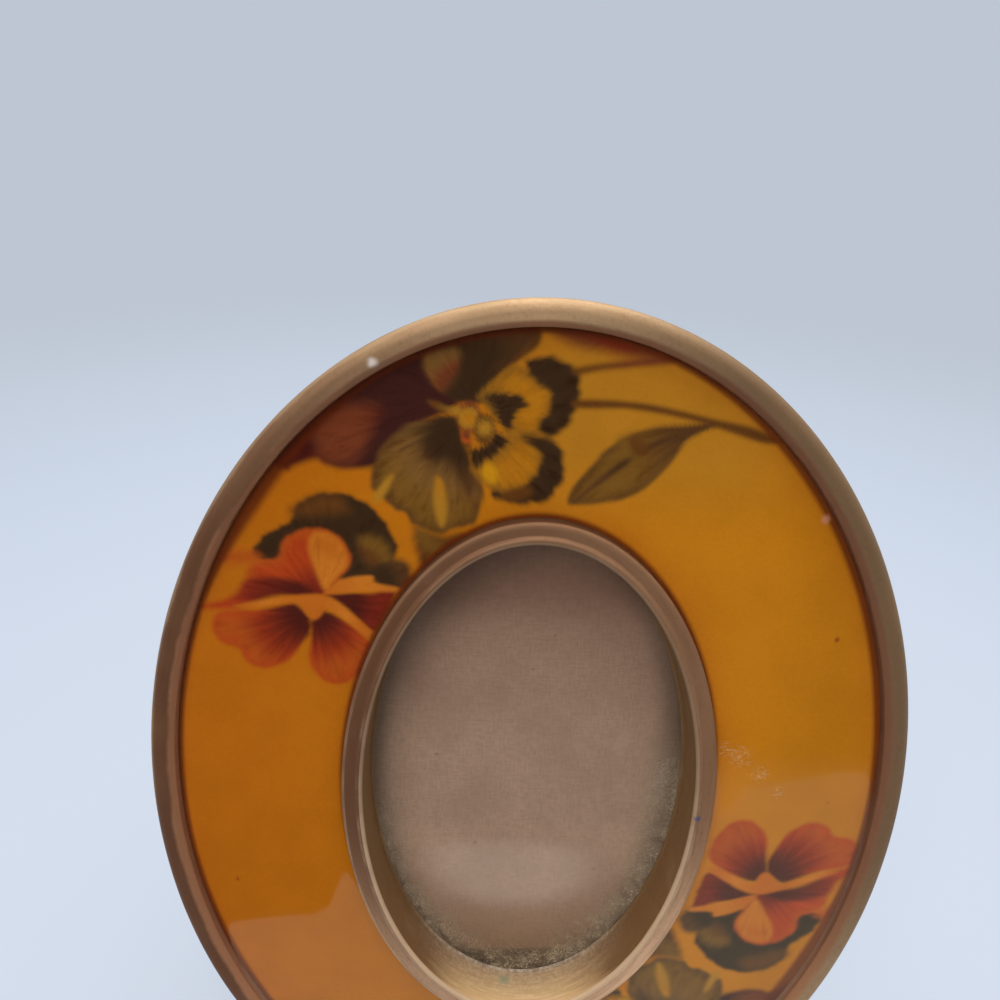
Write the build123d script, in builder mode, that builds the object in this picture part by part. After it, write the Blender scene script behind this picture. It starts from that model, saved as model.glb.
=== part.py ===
from build123d import *
import math
import os

# Oval picture frame that leans back on a hinged leg. Millimetres, +Z up, the picture faces -Y.
# Depths are measured from the crest of the outer rim towards the back, square to the picture.
# Heights on the frame are measured up the picture from the centre of the oval.

# Whole frame
frame_width = 125.0
frame_height = 159.5
body_depth = 13.6
lean_angle = 15.0
foot_cut = 1.0  # how much of the lowest edge is ground off to make the flat it stands on
cut_overrun = 3.0

# Outer rim and shell
rim_width = 4.0
rim_bevel = 1.2
rim_round = 0.5
trough_depth = 2.6
floor_thickness = 1.8
board_seat_depth = 11.0
back_rim_thickness = 2.2

# Sight opening and its brass liner
sight_width = 54.8
sight_height = 88.2
liner_wall = 0.8
liner_face_width = 3.5
liner_skirt = 0.6
liner_crown = 0.35  # face of the liner in front of the outer rim's crest
liner_cap = 0.95  # thickness of the liner's face over the collar
liner_edge_round = 0.45
bead_width = 1.0
bead_crown = 0.4
bead_round = 0.3
groove_width = 0.25
groove_depth = 0.25
ledge_width = 0.5  # narrow step inwards at the foot of the liner's wall
ledge_thickness = 0.5
flange_reach = 2.2
flange_thickness = 0.8
bed_gap = 0.05  # between pieces that are bedded or pressed together

# Print and poured layer
print_thickness = 0.2
resin_thickness = 1.2

# Glass, card and boards
glass_face_depth = 7.4
glass_thickness = 2.0
card_thickness = 0.3
well_gap = 0.3
well_wall = 1.8
back_board_thickness = 2.0
back_board_gap = 0.3
velvet_thickness = 0.4
velvet_margin = 0.3

# Screw bosses, turning tabs and their screws
boss_radius = 3.25
boss_inset = 5.0
boss_angles = (52.0, 128.0, 232.0, 308.0)
boss_notch_gap = 0.3
screw_radius = 1.1
screw_gap = 0.08
screw_length = 7.0
screw_hole_spare = 1.0
screw_head_radius = 2.3
screw_head_height = 1.2
screw_head_round = 0.5
screw_slot_width = 0.6
screw_slot_depth = 0.5
screw_slot_turns = (20.0, 75.0, -40.0, 10.0)
tab_thickness = 0.8
tab_reach = 11.5
tab_root_radius = 3.4
tab_tip_radius = 2.4
tab_edge_round = 0.2
tab_gap = 0.05

# Easel hinge
hinge_height = 22.0
hinge_open_angle = 30.0
hinge_sheet = 0.8
barrel_radius = 1.6
pin_radius = 0.8
pin_gap = 0.05
pin_head_radius = 1.2
pin_head_thickness = 0.5
middle_knuckle_width = 10.0
end_knuckle_width = 5.0
knuckle_gap = 0.2
barrel_gap = 0.3
plate_rise = 16.0
plate_drop = 4.0
plate_corner = 2.0
heel_gap = 0.1
rivet_radius = 0.9
rivet_gap = 0.05
rivet_head_radius = 1.6
rivet_head_height = 0.6
rivet_head_round = 0.35
plate_rivet_spread = 13.0
plate_rivet_rise = 9.5
plate_rivet_step = 7.0

# Easel leg
leg_top_width = 21.0
leg_foot_width = 30.0
leg_top_gap = 2.2
leg_thickness = 2.4
leg_top_corner = 2.0
leg_foot_corner = 7.0
leg_velvet_margin = 0.5
leaf_length = 14.0
leaf_width = 19.0
leaf_corner = 2.0
leaf_rivet_spread = 11.0
leaf_rivet_drop = 9.0

# Wall hanger
hanger_height = 62.0
strap_width = 6.0
strap_sheet = 0.7
strap_drop = 12.0
strap_corner = 1.5
strap_loop_bore = 0.95
hanger_rivet_drop = 4.6
hanger_rivet_step = 4.2
ring_wire_radius = 0.8
ring_width = 15.0
ring_drop = 11.5
ring_corner = 1.8

# Sizes that follow from the ones above
lean = math.radians(lean_angle)
leg_lean = math.radians(hinge_open_angle - lean_angle)
outer_x = frame_width / 2
outer_y = frame_height / 2
sight_x = sight_width / 2
sight_y = sight_height / 2
floor_back_depth = trough_depth + floor_thickness
flange_front_depth = glass_face_depth - flange_thickness
glass_reach = flange_reach
well_reach = flange_reach + well_gap
card_front_depth = glass_face_depth + glass_thickness
filler_front_depth = card_front_depth + card_thickness
board_back_depth = board_seat_depth + back_board_thickness
velvet_back_depth = board_back_depth + velvet_thickness
collar_face_depth = liner_cap - liner_crown
collar_reach = liner_face_width - liner_skirt - bed_gap
screw_head_depth = body_depth + tab_thickness + 2 * tab_gap

front_normal = Vector(0, -math.cos(lean), math.sin(lean))
up_frame = Vector(0, math.sin(lean), math.cos(lean))
sideways = Vector(1, 0, 0)

# The lowest edge is the back one. It is cut level, and the origin is the middle of that flat.
centre_z = outer_y * math.cos(lean) + body_depth * math.sin(lean) - foot_cut
flat_front_depth = body_depth - foot_cut / math.sin(lean)
flat_back_height = (body_depth * math.sin(lean) - centre_z) / math.cos(lean)
flat_front_y = flat_front_depth * math.cos(lean) - outer_y * math.sin(lean)
flat_back_y = body_depth * math.cos(lean) + flat_back_height * math.sin(lean)
centre_y = -(flat_front_y + flat_back_y) / 2
frame_centre = Vector(0, centre_y, centre_z)
front_axis = Axis(frame_centre, front_normal)


def place(depth, height=0.0, across=0.0):
    """The point at this depth, this far up the frame and this far to the right."""
    return frame_centre - front_normal * depth + up_frame * height + sideways * across


def front_plane(depth, height=0.0, across=0.0):
    """A plane parallel to the picture at this depth, which faces the viewer."""
    return Plane(origin=place(depth, height, across), x_dir=sideways, z_dir=front_normal)


def side_plane(depth, height, across=0.0):
    """A plane seen from the right. Its X runs to the back and its Y runs up the frame."""
    return Plane(origin=place(depth, height, across), x_dir=-front_normal, z_dir=sideways)


def tab_plane(index, depth):
    """The plane of a turning tab on its boss, which faces the wall. Its X points to the oval's centre."""
    across, height = boss_places[index]
    inward = sideways * -across - up_frame * height
    return Plane(origin=place(depth, height, across), x_dir=inward.normalized(), z_dir=-front_normal)


def leg_plane(rear):
    """A plane of the open leg, this far behind the hinge's axis. Its Y runs down the leg."""
    return Plane(origin=hinge_point + leg_rear * rear, x_dir=sideways, z_dir=leg_rear)


def outer_oval(inset):
    """The frame's outline, drawn in by this much."""
    return Ellipse(outer_x - inset, outer_y - inset)


def sight_oval(reach, mode=Mode.ADD):
    """The sight opening, let out by this much."""
    return Ellipse(sight_x + reach, sight_y + reach, mode=mode)


def boss_place(index):
    """How far right and up the frame a screw boss stands."""
    turn = math.radians(boss_angles[index])
    across = (outer_x - boss_inset) * math.cos(turn)
    height = (outer_y - boss_inset) * math.sin(turn)
    return across, height


boss_places = [boss_place(index) for index in range(len(boss_angles))]

# The hinge's barrel lies on the velvet, and the open leg slopes away from it to the table
hinge_depth = velvet_back_depth + barrel_radius
hinge_point = place(hinge_depth, hinge_height)
barrel_width = middle_knuckle_width + 2 * (end_knuckle_width + knuckle_gap)
leg_rear = Vector(0, math.cos(leg_lean), math.sin(leg_lean))
leaf_front = barrel_radius - hinge_sheet
leg_back = barrel_radius + leg_thickness
leg_velvet_back = leg_back + velvet_thickness
leg_end = (hinge_point.Z + leg_back * math.sin(leg_lean)) / math.cos(leg_lean)
opening = math.radians(hinge_open_angle)
heel_rise = (leaf_front + leaf_front * math.cos(opening) - heel_gap) / math.sin(opening)
plate_rivet_places = [
    (side * plate_rivet_spread / 2, hinge_height + plate_rivet_rise + step * plate_rivet_step / 2)
    for side in (-1, 1)
    for step in (-1, 1)
]
leg_axis = Axis(hinge_point, leg_rear)
leaf_rivet_places = [(side * leaf_rivet_spread / 2, leaf_rivet_drop) for side in (-1, 1)]
plate_back_depth = velvet_back_depth + hinge_sheet

# The hanger's loop lies on the velvet, with its strap below it
loop_radius = strap_loop_bore + strap_sheet
loop_depth = velvet_back_depth + loop_radius
ring_plane = Plane(origin=place(loop_depth, hanger_height), x_dir=sideways, z_dir=(0, -1, 0))
strap_back_depth = velvet_back_depth + strap_sheet
hanger_rivet_places = [
    (0, hanger_height - hanger_rivet_drop),
    (0, hanger_height - hanger_rivet_drop - hanger_rivet_step),
]


def leg_outline(inset):
    """Draws the leg's outline on one of its planes, drawn in by this much."""
    top = leg_top_gap + inset
    end = leg_end - inset
    half_top = leg_top_width / 2 - inset
    half_foot = leg_foot_width / 2 - inset
    top_corner = leg_top_corner - inset
    foot_corner = leg_foot_corner - inset
    with BuildLine() as outline:
        FilletPolyline(
            (-half_top, top),
            (half_top, top),
            (half_foot, end),
            (-half_foot, end),
            radius=(top_corner, top_corner, foot_corner, foot_corner),
            close=True,
        )
    make_face(outline.edges())


def board_outline(inset, notch_gap):
    """Draws a board that fits between the bosses, with holes for the rivets."""
    outer_oval(inset)
    with Locations(*boss_places):
        Circle(boss_radius + notch_gap, mode=Mode.SUBTRACT)
    with Locations(*plate_rivet_places, *hanger_rivet_places):
        Circle(rivet_radius + rivet_gap, mode=Mode.SUBTRACT)


def print_outline():
    """Draws the oval ring between the outer rim and the liner."""
    outer_oval(rim_width + bed_gap)
    sight_oval(liner_face_width + bed_gap, mode=Mode.SUBTRACT)


def finish(part, name):
    """Names a finished piece and writes it."""
    part.label = name
    export_step(part, "parts/" + name + ".step")


os.makedirs("parts", exist_ok=True)

# Frame body: a shell with a rim in front, a trough for the print and a well for the glass
with BuildPart() as frame_body:
    with BuildSketch(front_plane(body_depth)):
        outer_oval(0)
    extrude(amount=body_depth)
    with BuildSketch(front_plane(trough_depth)):
        outer_oval(rim_width)
    extrude(amount=trough_depth + cut_overrun, mode=Mode.SUBTRACT)
    chamfer(frame_body.edges().group_by(front_axis)[-1], length=rim_bevel)
    fillet(frame_body.edges().group_by(front_axis)[-1], radius=rim_round)
    with BuildSketch(front_plane(trough_depth)):
        sight_oval(collar_reach)
    extrude(amount=trough_depth - collar_face_depth)
    with BuildSketch(front_plane(body_depth)):
        outer_oval(back_rim_thickness)
    extrude(amount=body_depth - board_seat_depth, mode=Mode.SUBTRACT)
    with BuildSketch(front_plane(board_seat_depth)):
        outer_oval(rim_width)
        sight_oval(well_reach + well_wall, mode=Mode.SUBTRACT)
    extrude(amount=board_seat_depth - floor_back_depth, mode=Mode.SUBTRACT)
    with BuildSketch(front_plane(body_depth)):
        with Locations(*boss_places):
            Circle(boss_radius)
    extrude(amount=body_depth - floor_back_depth)
    with BuildSketch(front_plane(body_depth)):
        with Locations(*boss_places):
            Circle(screw_radius + screw_gap)
    extrude(amount=screw_length + screw_hole_spare, mode=Mode.SUBTRACT)
    with BuildSketch(front_plane(board_seat_depth)):
        sight_oval(well_reach)
    extrude(amount=board_seat_depth - flange_front_depth, mode=Mode.SUBTRACT)
    with BuildSketch(front_plane(board_seat_depth)):
        sight_oval(liner_wall + bed_gap)
    extrude(amount=board_seat_depth + cut_overrun, mode=Mode.SUBTRACT)
    split(bisect_by=Plane.XY, keep=Keep.TOP)
finish(frame_body.part, "frame_body")

# Sight ring: a cap over the collar with a bead and a groove, a straight wall, and a swaged flange
with BuildPart() as sight_ring:
    with BuildSketch(front_plane(collar_face_depth)):
        sight_oval(liner_face_width)
    extrude(amount=liner_cap)
    fillet(sight_ring.edges().group_by(front_axis)[-1], radius=liner_edge_round)
    with BuildSketch(front_plane(-liner_crown)):
        sight_oval(bead_width)
    extrude(amount=bead_crown)
    with BuildSketch(front_plane(trough_depth)):
        sight_oval(liner_face_width)
        sight_oval(liner_face_width - liner_skirt, mode=Mode.SUBTRACT)
    extrude(amount=trough_depth - collar_face_depth)
    with BuildSketch(front_plane(glass_face_depth)):
        sight_oval(liner_wall)
    extrude(amount=glass_face_depth - collar_face_depth)
    with BuildSketch(front_plane(glass_face_depth)):
        sight_oval(flange_reach)
    extrude(amount=flange_thickness)
    with BuildSketch(front_plane(-liner_crown)):
        sight_oval(bead_width + groove_width)
        sight_oval(bead_width, mode=Mode.SUBTRACT)
    extrude(amount=-groove_depth, mode=Mode.SUBTRACT)
    with BuildSketch(front_plane(glass_face_depth)):
        sight_oval(-ledge_width)
    extrude(amount=glass_face_depth + cut_overrun, mode=Mode.SUBTRACT)
    with BuildSketch(front_plane(glass_face_depth - ledge_thickness)):
        sight_oval(0)
    extrude(amount=glass_face_depth + cut_overrun, mode=Mode.SUBTRACT)
    fillet(sight_ring.edges().group_by(front_axis)[-1], radius=bead_round)
finish(sight_ring.part, "sight_ring")

# Floral print: a thin paper ring on the floor of the trough
with BuildPart() as floral_print:
    with BuildSketch(front_plane(trough_depth)):
        print_outline()
    extrude(amount=print_thickness)
finish(floral_print.part, "floral_print")

# Clear resin: poured over the print
with BuildPart() as clear_resin:
    with BuildSketch(front_plane(trough_depth - print_thickness)):
        print_outline()
    extrude(amount=resin_thickness)
finish(clear_resin.part, "clear_resin")

# Glass: rests against the liner's flange
with BuildPart() as glass:
    with BuildSketch(front_plane(card_front_depth)):
        sight_oval(glass_reach)
    extrude(amount=glass_thickness)
finish(glass.part, "glass")

# Insert card: where a picture goes
with BuildPart() as insert_card:
    with BuildSketch(front_plane(filler_front_depth)):
        sight_oval(glass_reach)
    extrude(amount=card_thickness)
finish(insert_card.part, "insert_card")

# Filler board: fills the well as far as the back board
with BuildPart() as filler_board:
    with BuildSketch(front_plane(board_seat_depth)):
        sight_oval(glass_reach)
    extrude(amount=board_seat_depth - filler_front_depth)
finish(filler_board.part, "filler_board")

# Back board: seated on the ledge of the shell and notched round the bosses
with BuildPart() as back_board:
    with BuildSketch(front_plane(board_back_depth)):
        board_outline(back_rim_thickness + back_board_gap, boss_notch_gap)
    extrude(amount=back_board_thickness)
finish(back_board.part, "back_board")

# Back velvet: the cloth on the back board
with BuildPart() as back_velvet:
    with BuildSketch(front_plane(velvet_back_depth)):
        board_outline(back_rim_thickness + back_board_gap + velvet_margin, boss_notch_gap + velvet_margin)
    extrude(amount=velvet_thickness)
finish(back_velvet.part, "back_velvet")

# Turn buttons: flat tabs on the bosses that reach over the back board
for index in range(len(boss_places)):
    with BuildPart() as turn_button:
        with BuildSketch(tab_plane(index, body_depth + tab_gap)):
            Circle(tab_root_radius)
            with Locations((tab_reach, 0)):
                Circle(tab_tip_radius)
            make_hull()
        extrude(amount=tab_thickness)
        fillet(turn_button.edges().group_by(front_axis)[0], radius=tab_edge_round)
        with BuildSketch(tab_plane(index, body_depth + tab_gap)):
            Circle(screw_radius + screw_gap)
        extrude(amount=tab_thickness, mode=Mode.SUBTRACT)
    finish(turn_button.part, "turn_button_" + str(index + 1))

# Turn button screws: slotted, one through each tab into its boss
with BuildPart() as turn_button_screws:
    with BuildSketch(front_plane(screw_head_depth)):
        with Locations(*boss_places):
            Circle(screw_head_radius)
    extrude(amount=-screw_head_height)
    fillet(turn_button_screws.edges().group_by(front_axis)[0], radius=screw_head_round)
    with BuildSketch(front_plane(screw_head_depth + screw_head_height)):
        for index in range(len(boss_places)):
            with Locations(boss_places[index]):
                Rectangle(3 * screw_head_radius, screw_slot_width, rotation=screw_slot_turns[index])
    extrude(amount=screw_slot_depth, mode=Mode.SUBTRACT)
    with BuildSketch(front_plane(screw_head_depth)):
        with Locations(*boss_places):
            Circle(screw_radius)
    extrude(amount=screw_head_depth - body_depth + screw_length)
finish(turn_button_screws.part, "turn_button_screws")

# Hinge plate: sheet on the velvet with two knuckles and a window for the leaf's knuckle
with BuildPart() as hinge_plate:
    with BuildSketch(front_plane(plate_back_depth)):
        with Locations((0, hinge_height + (plate_rise - plate_drop) / 2)):
            RectangleRounded(barrel_width, plate_rise + plate_drop, plate_corner)
        with Locations((0, hinge_height)):
            Rectangle(
                middle_knuckle_width + 2 * knuckle_gap,
                2 * (barrel_radius + barrel_gap),
                mode=Mode.SUBTRACT,
            )
        with Locations(*plate_rivet_places):
            Circle(rivet_radius + rivet_gap, mode=Mode.SUBTRACT)
    extrude(amount=hinge_sheet)
    for side in (-1, 1):
        knuckle_start = side * (middle_knuckle_width / 2 + knuckle_gap)
        with BuildSketch(side_plane(hinge_depth, hinge_height, knuckle_start)):
            Circle(barrel_radius)
        extrude(amount=side * end_knuckle_width)
    with BuildSketch(side_plane(hinge_depth, hinge_height)):
        Circle(pin_radius + pin_gap)
    extrude(amount=barrel_width, both=True, mode=Mode.SUBTRACT)
finish(hinge_plate.part, "hinge_plate")

# Hinge plate rivets: flush in front, because the filler board lies there
with BuildPart() as hinge_plate_rivets:
    with BuildSketch(front_plane(plate_back_depth)):
        with Locations(*plate_rivet_places):
            Circle(rivet_head_radius)
    extrude(amount=-rivet_head_height)
    fillet(hinge_plate_rivets.edges().group_by(front_axis)[0], radius=rivet_head_round)
    with BuildSketch(front_plane(plate_back_depth)):
        with Locations(*plate_rivet_places):
            Circle(rivet_radius)
    extrude(amount=plate_back_depth - board_seat_depth)
finish(hinge_plate_rivets.part, "hinge_plate_rivets")

# Hinge pin: headed at both ends
with BuildPart() as hinge_pin:
    with BuildSketch(side_plane(hinge_depth, hinge_height)):
        Circle(pin_radius)
    extrude(amount=barrel_width / 2, both=True)
    for side in (-1, 1):
        with BuildSketch(side_plane(hinge_depth, hinge_height, side * barrel_width / 2)):
            Circle(pin_head_radius)
        extrude(amount=side * pin_head_thickness)
finish(hinge_pin.part, "hinge_pin")

# Hinge leaf: carries the leg. Its heel meets the plate when the leg is open.
with BuildPart() as hinge_leaf:
    tongue_end = leg_top_gap + leaf_corner
    with BuildSketch(leg_plane(leaf_front)):
        with Locations((0, leg_top_gap + leaf_length / 2)):
            RectangleRounded(leaf_width, leaf_length, leaf_corner)
        with Locations((0, (tongue_end - heel_rise) / 2)):
            Rectangle(middle_knuckle_width, tongue_end + heel_rise)
        with Locations(*leaf_rivet_places):
            Circle(rivet_radius + rivet_gap, mode=Mode.SUBTRACT)
    extrude(amount=hinge_sheet)
    with BuildSketch(side_plane(hinge_depth, hinge_height)):
        Circle(barrel_radius)
    extrude(amount=middle_knuckle_width / 2, both=True)
    with BuildSketch(side_plane(hinge_depth, hinge_height)):
        Circle(pin_radius + pin_gap)
    extrude(amount=middle_knuckle_width, both=True, mode=Mode.SUBTRACT)
finish(hinge_leaf.part, "hinge_leaf")

# Easel leg: stiff board, cut level at the foot
with BuildPart() as easel_leg:
    with BuildSketch(leg_plane(barrel_radius)):
        leg_outline(0)
        with Locations(*leaf_rivet_places):
            Circle(rivet_radius + rivet_gap, mode=Mode.SUBTRACT)
    extrude(amount=leg_thickness)
    split(bisect_by=Plane.XY, keep=Keep.TOP)
finish(easel_leg.part, "easel_leg")

# Leg velvet: the cloth on the back of the leg
with BuildPart() as leg_velvet:
    with BuildSketch(leg_plane(leg_back)):
        leg_outline(leg_velvet_margin)
        with Locations(*leaf_rivet_places):
            Circle(rivet_radius + rivet_gap, mode=Mode.SUBTRACT)
    extrude(amount=velvet_thickness)
finish(leg_velvet.part, "leg_velvet")

# Hinge leaf rivets: headed on both sides, through the leaf, the leg and its cloth
with BuildPart() as hinge_leaf_rivets:
    with BuildSketch(leg_plane(leaf_front)):
        with Locations(*leaf_rivet_places):
            Circle(rivet_head_radius)
    extrude(amount=-rivet_head_height)
    with BuildSketch(leg_plane(leg_velvet_back)):
        with Locations(*leaf_rivet_places):
            Circle(rivet_head_radius)
    extrude(amount=rivet_head_height)
    fillet(hinge_leaf_rivets.edges().group_by(leg_axis)[0], radius=rivet_head_round)
    fillet(hinge_leaf_rivets.edges().group_by(leg_axis)[-1], radius=rivet_head_round)
    with BuildSketch(leg_plane(leaf_front)):
        with Locations(*leaf_rivet_places):
            Circle(rivet_radius)
    extrude(amount=leg_velvet_back - leaf_front)
finish(hinge_leaf_rivets.part, "hinge_leaf_rivets")

# Hanger strap: folded round the ring's bar and riveted below it
with BuildPart() as hanger_strap:
    with BuildSketch(front_plane(strap_back_depth)) as strap_face:
        with Locations((0, hanger_height - strap_drop / 2)):
            Rectangle(strap_width, strap_drop)
        fillet(strap_face.vertices().group_by(Axis.Y)[0], radius=strap_corner)
        with Locations(*hanger_rivet_places):
            Circle(rivet_radius + rivet_gap, mode=Mode.SUBTRACT)
    extrude(amount=strap_sheet)
    with BuildSketch(side_plane(loop_depth, hanger_height)):
        Circle(loop_radius)
    extrude(amount=strap_width / 2, both=True)
    with BuildSketch(side_plane(loop_depth, hanger_height)):
        Circle(strap_loop_bore)
    extrude(amount=strap_width, both=True, mode=Mode.SUBTRACT)
finish(hanger_strap.part, "hanger_strap")

# Hanger rivets
with BuildPart() as hanger_rivets:
    with BuildSketch(front_plane(strap_back_depth)):
        with Locations(*hanger_rivet_places):
            Circle(rivet_head_radius)
    extrude(amount=-rivet_head_height)
    fillet(hanger_rivets.edges().group_by(front_axis)[0], radius=rivet_head_round)
    with BuildSketch(front_plane(strap_back_depth)):
        with Locations(*hanger_rivet_places):
            Circle(rivet_radius)
    extrude(amount=strap_back_depth - board_seat_depth)
finish(hanger_rivets.part, "hanger_rivets")

# Hanger ring: bent wire with three rounded corners, which hangs plumb from the strap
with BuildPart() as hanger_ring:
    with BuildLine(ring_plane) as ring_path:
        FilletPolyline(
            (-ring_width / 2, 0),
            (ring_width / 2, 0),
            (0, -ring_drop),
            radius=ring_corner,
            close=True,
        )
    with BuildSketch(Plane(origin=ring_path.line @ 0, z_dir=ring_path.line % 0)):
        Circle(ring_wire_radius)
    sweep(path=ring_path.line)
finish(hanger_ring.part, "hanger_ring")
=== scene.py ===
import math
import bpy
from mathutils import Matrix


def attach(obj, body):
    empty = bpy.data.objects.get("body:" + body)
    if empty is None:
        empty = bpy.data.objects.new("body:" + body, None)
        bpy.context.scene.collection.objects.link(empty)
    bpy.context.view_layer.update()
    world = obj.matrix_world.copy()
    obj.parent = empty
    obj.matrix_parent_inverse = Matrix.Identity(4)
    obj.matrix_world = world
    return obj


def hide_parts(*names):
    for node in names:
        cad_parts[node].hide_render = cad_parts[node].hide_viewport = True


bl_info = {
    "name": "Oval picture frame",
    "version": (1, 0, 0),
    "blender": (4, 5, 0),
    "location": "View3D > Sidebar > Oval Frame",
    "description": "Builds the look of a leaning oval picture frame round its packed model",
    "category": "Object",
}

from contextlib import contextmanager

import bmesh
import bpy
import numpy as np
from mathutils import Euler, Matrix, Vector

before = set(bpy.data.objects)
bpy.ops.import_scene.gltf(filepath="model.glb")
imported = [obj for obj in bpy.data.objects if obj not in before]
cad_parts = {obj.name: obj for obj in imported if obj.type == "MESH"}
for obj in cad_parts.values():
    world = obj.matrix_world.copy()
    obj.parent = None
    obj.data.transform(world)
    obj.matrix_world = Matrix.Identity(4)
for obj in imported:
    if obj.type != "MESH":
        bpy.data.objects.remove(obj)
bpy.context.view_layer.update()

# Sizes of the model, in millimetres. Depth runs back from the crest of the rim, square to the picture.
# Across and height are measured on the picture from the centre of the oval.
MM = 0.001
LEAN = math.radians(15.0)
CENTRE_Y = 9.2363
CENTRE_Z = 79.5525
OUTER_X = 62.5
OUTER_Y = 79.75
SIGHT_X = 27.4
SIGHT_Y = 44.1
RIM_WIDTH = 4.0
FLOOR_DEPTH = 2.6
FLOOR_BACK = 4.4
COLLAR_TOP = 0.6
COLLAR_REACH = 2.85
BORE_REACH = 0.85
FLANGE_FRONT = 6.6
FLANGE_REACH = 2.2
WELL_REACH = 2.5
WELL_OUTSIDE = 4.3
SEAT_DEPTH = 11.0
BODY_DEPTH = 13.6
BACK_RIM = 2.2
LINER_FACE = 3.5
LINER_SKIRT = 0.6
LINER_WALL = 0.8
LINER_CROWN = -0.35
BEAD_WIDTH = 0.9
LEDGE_THICKNESS = 0.5
PRINT_GAP = 0.05
PRINT_FACE = 2.42
PRINT_BACK = 2.58
RESIN_GAP = 0.03
RESIN_BACK = 2.38
GLASS_FACE = 7.4
GLASS_BACK = 9.4
CARD_BACK = 9.7
VELVET_FRONT = 13.02
VELVET_BACK = 13.4
VELVET_INSET = 2.8
VELVET_ROLL = 0.22
VELVET_TURNS = 960
VELVET_ROWS = 110
BOSS_RADIUS = 3.25
BOSS_INSET = 5.0
BOSS_ANGLES = (52.0, 128.0, 232.0, 308.0)
BOSS_ROOT = 4.1
BOSS_HOLE = 1.18
BOSS_HOLE_END = 5.6
BOSS_TURNS = 56
NOTCH_RADIUS = 3.85
SCREW_SEAT = 14.51
HINGE_HEIGHT = 22.0
HINGE_DEPTH = 15.0
HINGE_RIVET_SIDE = 6.5
HINGE_RIVET_RISE = 9.5
HINGE_RIVET_STEP = 3.5
HANGER_HEIGHT = 62.0
STRAP_RIVET_DROPS = (4.6, 8.8)
SHEET = 0.8
STRAP_SHEET = 0.7
LEAF_RIVET_SIDE = 5.5
LEAF_RIVET_DROP = 9.0
LEAF_FRONT = 0.8
LEAF_BACK = 4.4
LEG_LEAN = math.radians(15.0)
OVALS = {"outer": (OUTER_X, OUTER_Y, -1), "sight": (SIGHT_X, SIGHT_Y, 1)}
HINGE_RIVETS = [
    (side * HINGE_RIVET_SIDE, HINGE_HEIGHT + HINGE_RIVET_RISE + step * HINGE_RIVET_STEP)
    for side in (-1, 1)
    for step in (-1, 1)
]
STRAP_RIVETS = [(0.0, HANGER_HEIGHT - drop) for drop in STRAP_RIVET_DROPS]
SCREW = {
    "Head Radius": 2.3,
    "Head Height": 1.19,
    "Crown": 0.62,
    "Shank Radius": 1.1,
    "Shank Length": 7.8,
    "Slot Width": 0.6,
    "Slot Depth": 0.62,
}
SCREW_TURNS = (20.0, 75.0, -40.0, 10.0)
RIVET = {
    "Head Radius": 1.6,
    "Head Height": 0.6,
    "Crown": 0.42,
    "Shank Radius": 0.9,
    "Slot Width": 0.0,
    "Slot Depth": 0.0,
}
DARK_FIBRE = (0.12, 0.07, 0.04)

BACK_FACING = Vector((0, math.cos(LEAN), -math.sin(LEAN)))
LEG_REAR = Vector((0, math.cos(LEG_LEAN), math.sin(LEG_LEAN)))
LEG_DOWN = Vector((0, math.sin(LEG_LEAN), -math.cos(LEG_LEAN)))


def linear(red, green, blue):
    """A colour as a screen shows it, 0 to 255, in the linear values that Blender uses."""
    shares = np.array([red, green, blue]) / 255
    return tuple(np.where(shares < 0.0405, shares / 12.92, ((shares + 0.055) / 1.055) ** 2.4).tolist())


def scaled(colour, share):
    """A colour made darker or lighter, and held at full."""
    return tuple(min(1.0, share * v) for v in colour)


BACKDROP = linear(189, 198, 210)


def place(across, height, depth):
    """Points on the leaning frame, from millimetres to the model's metres."""
    across, height, depth = np.broadcast_arrays(across, height, depth)
    y = CENTRE_Y + height * math.sin(LEAN) + depth * math.cos(LEAN)
    z = CENTRE_Z + height * math.cos(LEAN) - depth * math.sin(LEAN)
    return np.stack([across, y, z], axis=-1) * MM


# Settings that a user would change


def colour_setting(name, description, default):
    return bpy.props.FloatVectorProperty(
        name=name, description=description, default=default, subtype="COLOR", size=3, min=0.0, max=1.0
    )


def length_setting(name, description, millimetres):
    length = millimetres * MM
    return bpy.props.FloatProperty(
        name=name, description=description, default=length, unit="LENGTH", subtype="DISTANCE", precision=5
    )


def count_setting(name, description, default, least):
    return bpy.props.IntProperty(name=name, description=description, default=default, min=least)


class OvalFrameSizes(bpy.types.PropertyGroup):
    rim_bevel: length_setting("Rim bevel", "Width of the slopes beside the rim's crest", 1.2)
    rim_round: length_setting("Rim rounding", "Rounding of the rim's edges", 0.5)
    rim_wobble: length_setting("Rim wobble", "Unevenness of the hand-polished rim", 0.035)
    bead_height: length_setting("Bead height", "How far the liner's bead stands up from its face", 0.4)
    liner_crown: length_setting("Liner crown", "Doming of the liner's face", 0.07)
    ledge_width: length_setting("Ledge width", "Step at the foot of the liner's wall", 0.5)
    resin_depth: length_setting("Resin depth", "How far the clear layer lies below the rim", 1.2)
    resin_climb: length_setting("Resin climb", "How far the clear layer climbs at its edges", 0.32)
    resin_ripple: length_setting("Resin ripple", "Waviness of the clear layer's surface", 0.012)
    cloth_puff: length_setting("Cloth puff", "Unevenness of the velvet", 0.06)
    sheet_edge: length_setting("Sheet edge", "Rounding of the brass sheet's edges", 0.14)
    turns: count_setting("Turns", "Points round each oval", 480, 96)
    print_turns: count_setting("Print points round", "Points round the print", 1240, 96)
    print_rows: count_setting("Print points across", "Points across the print", 76, 8)


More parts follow.
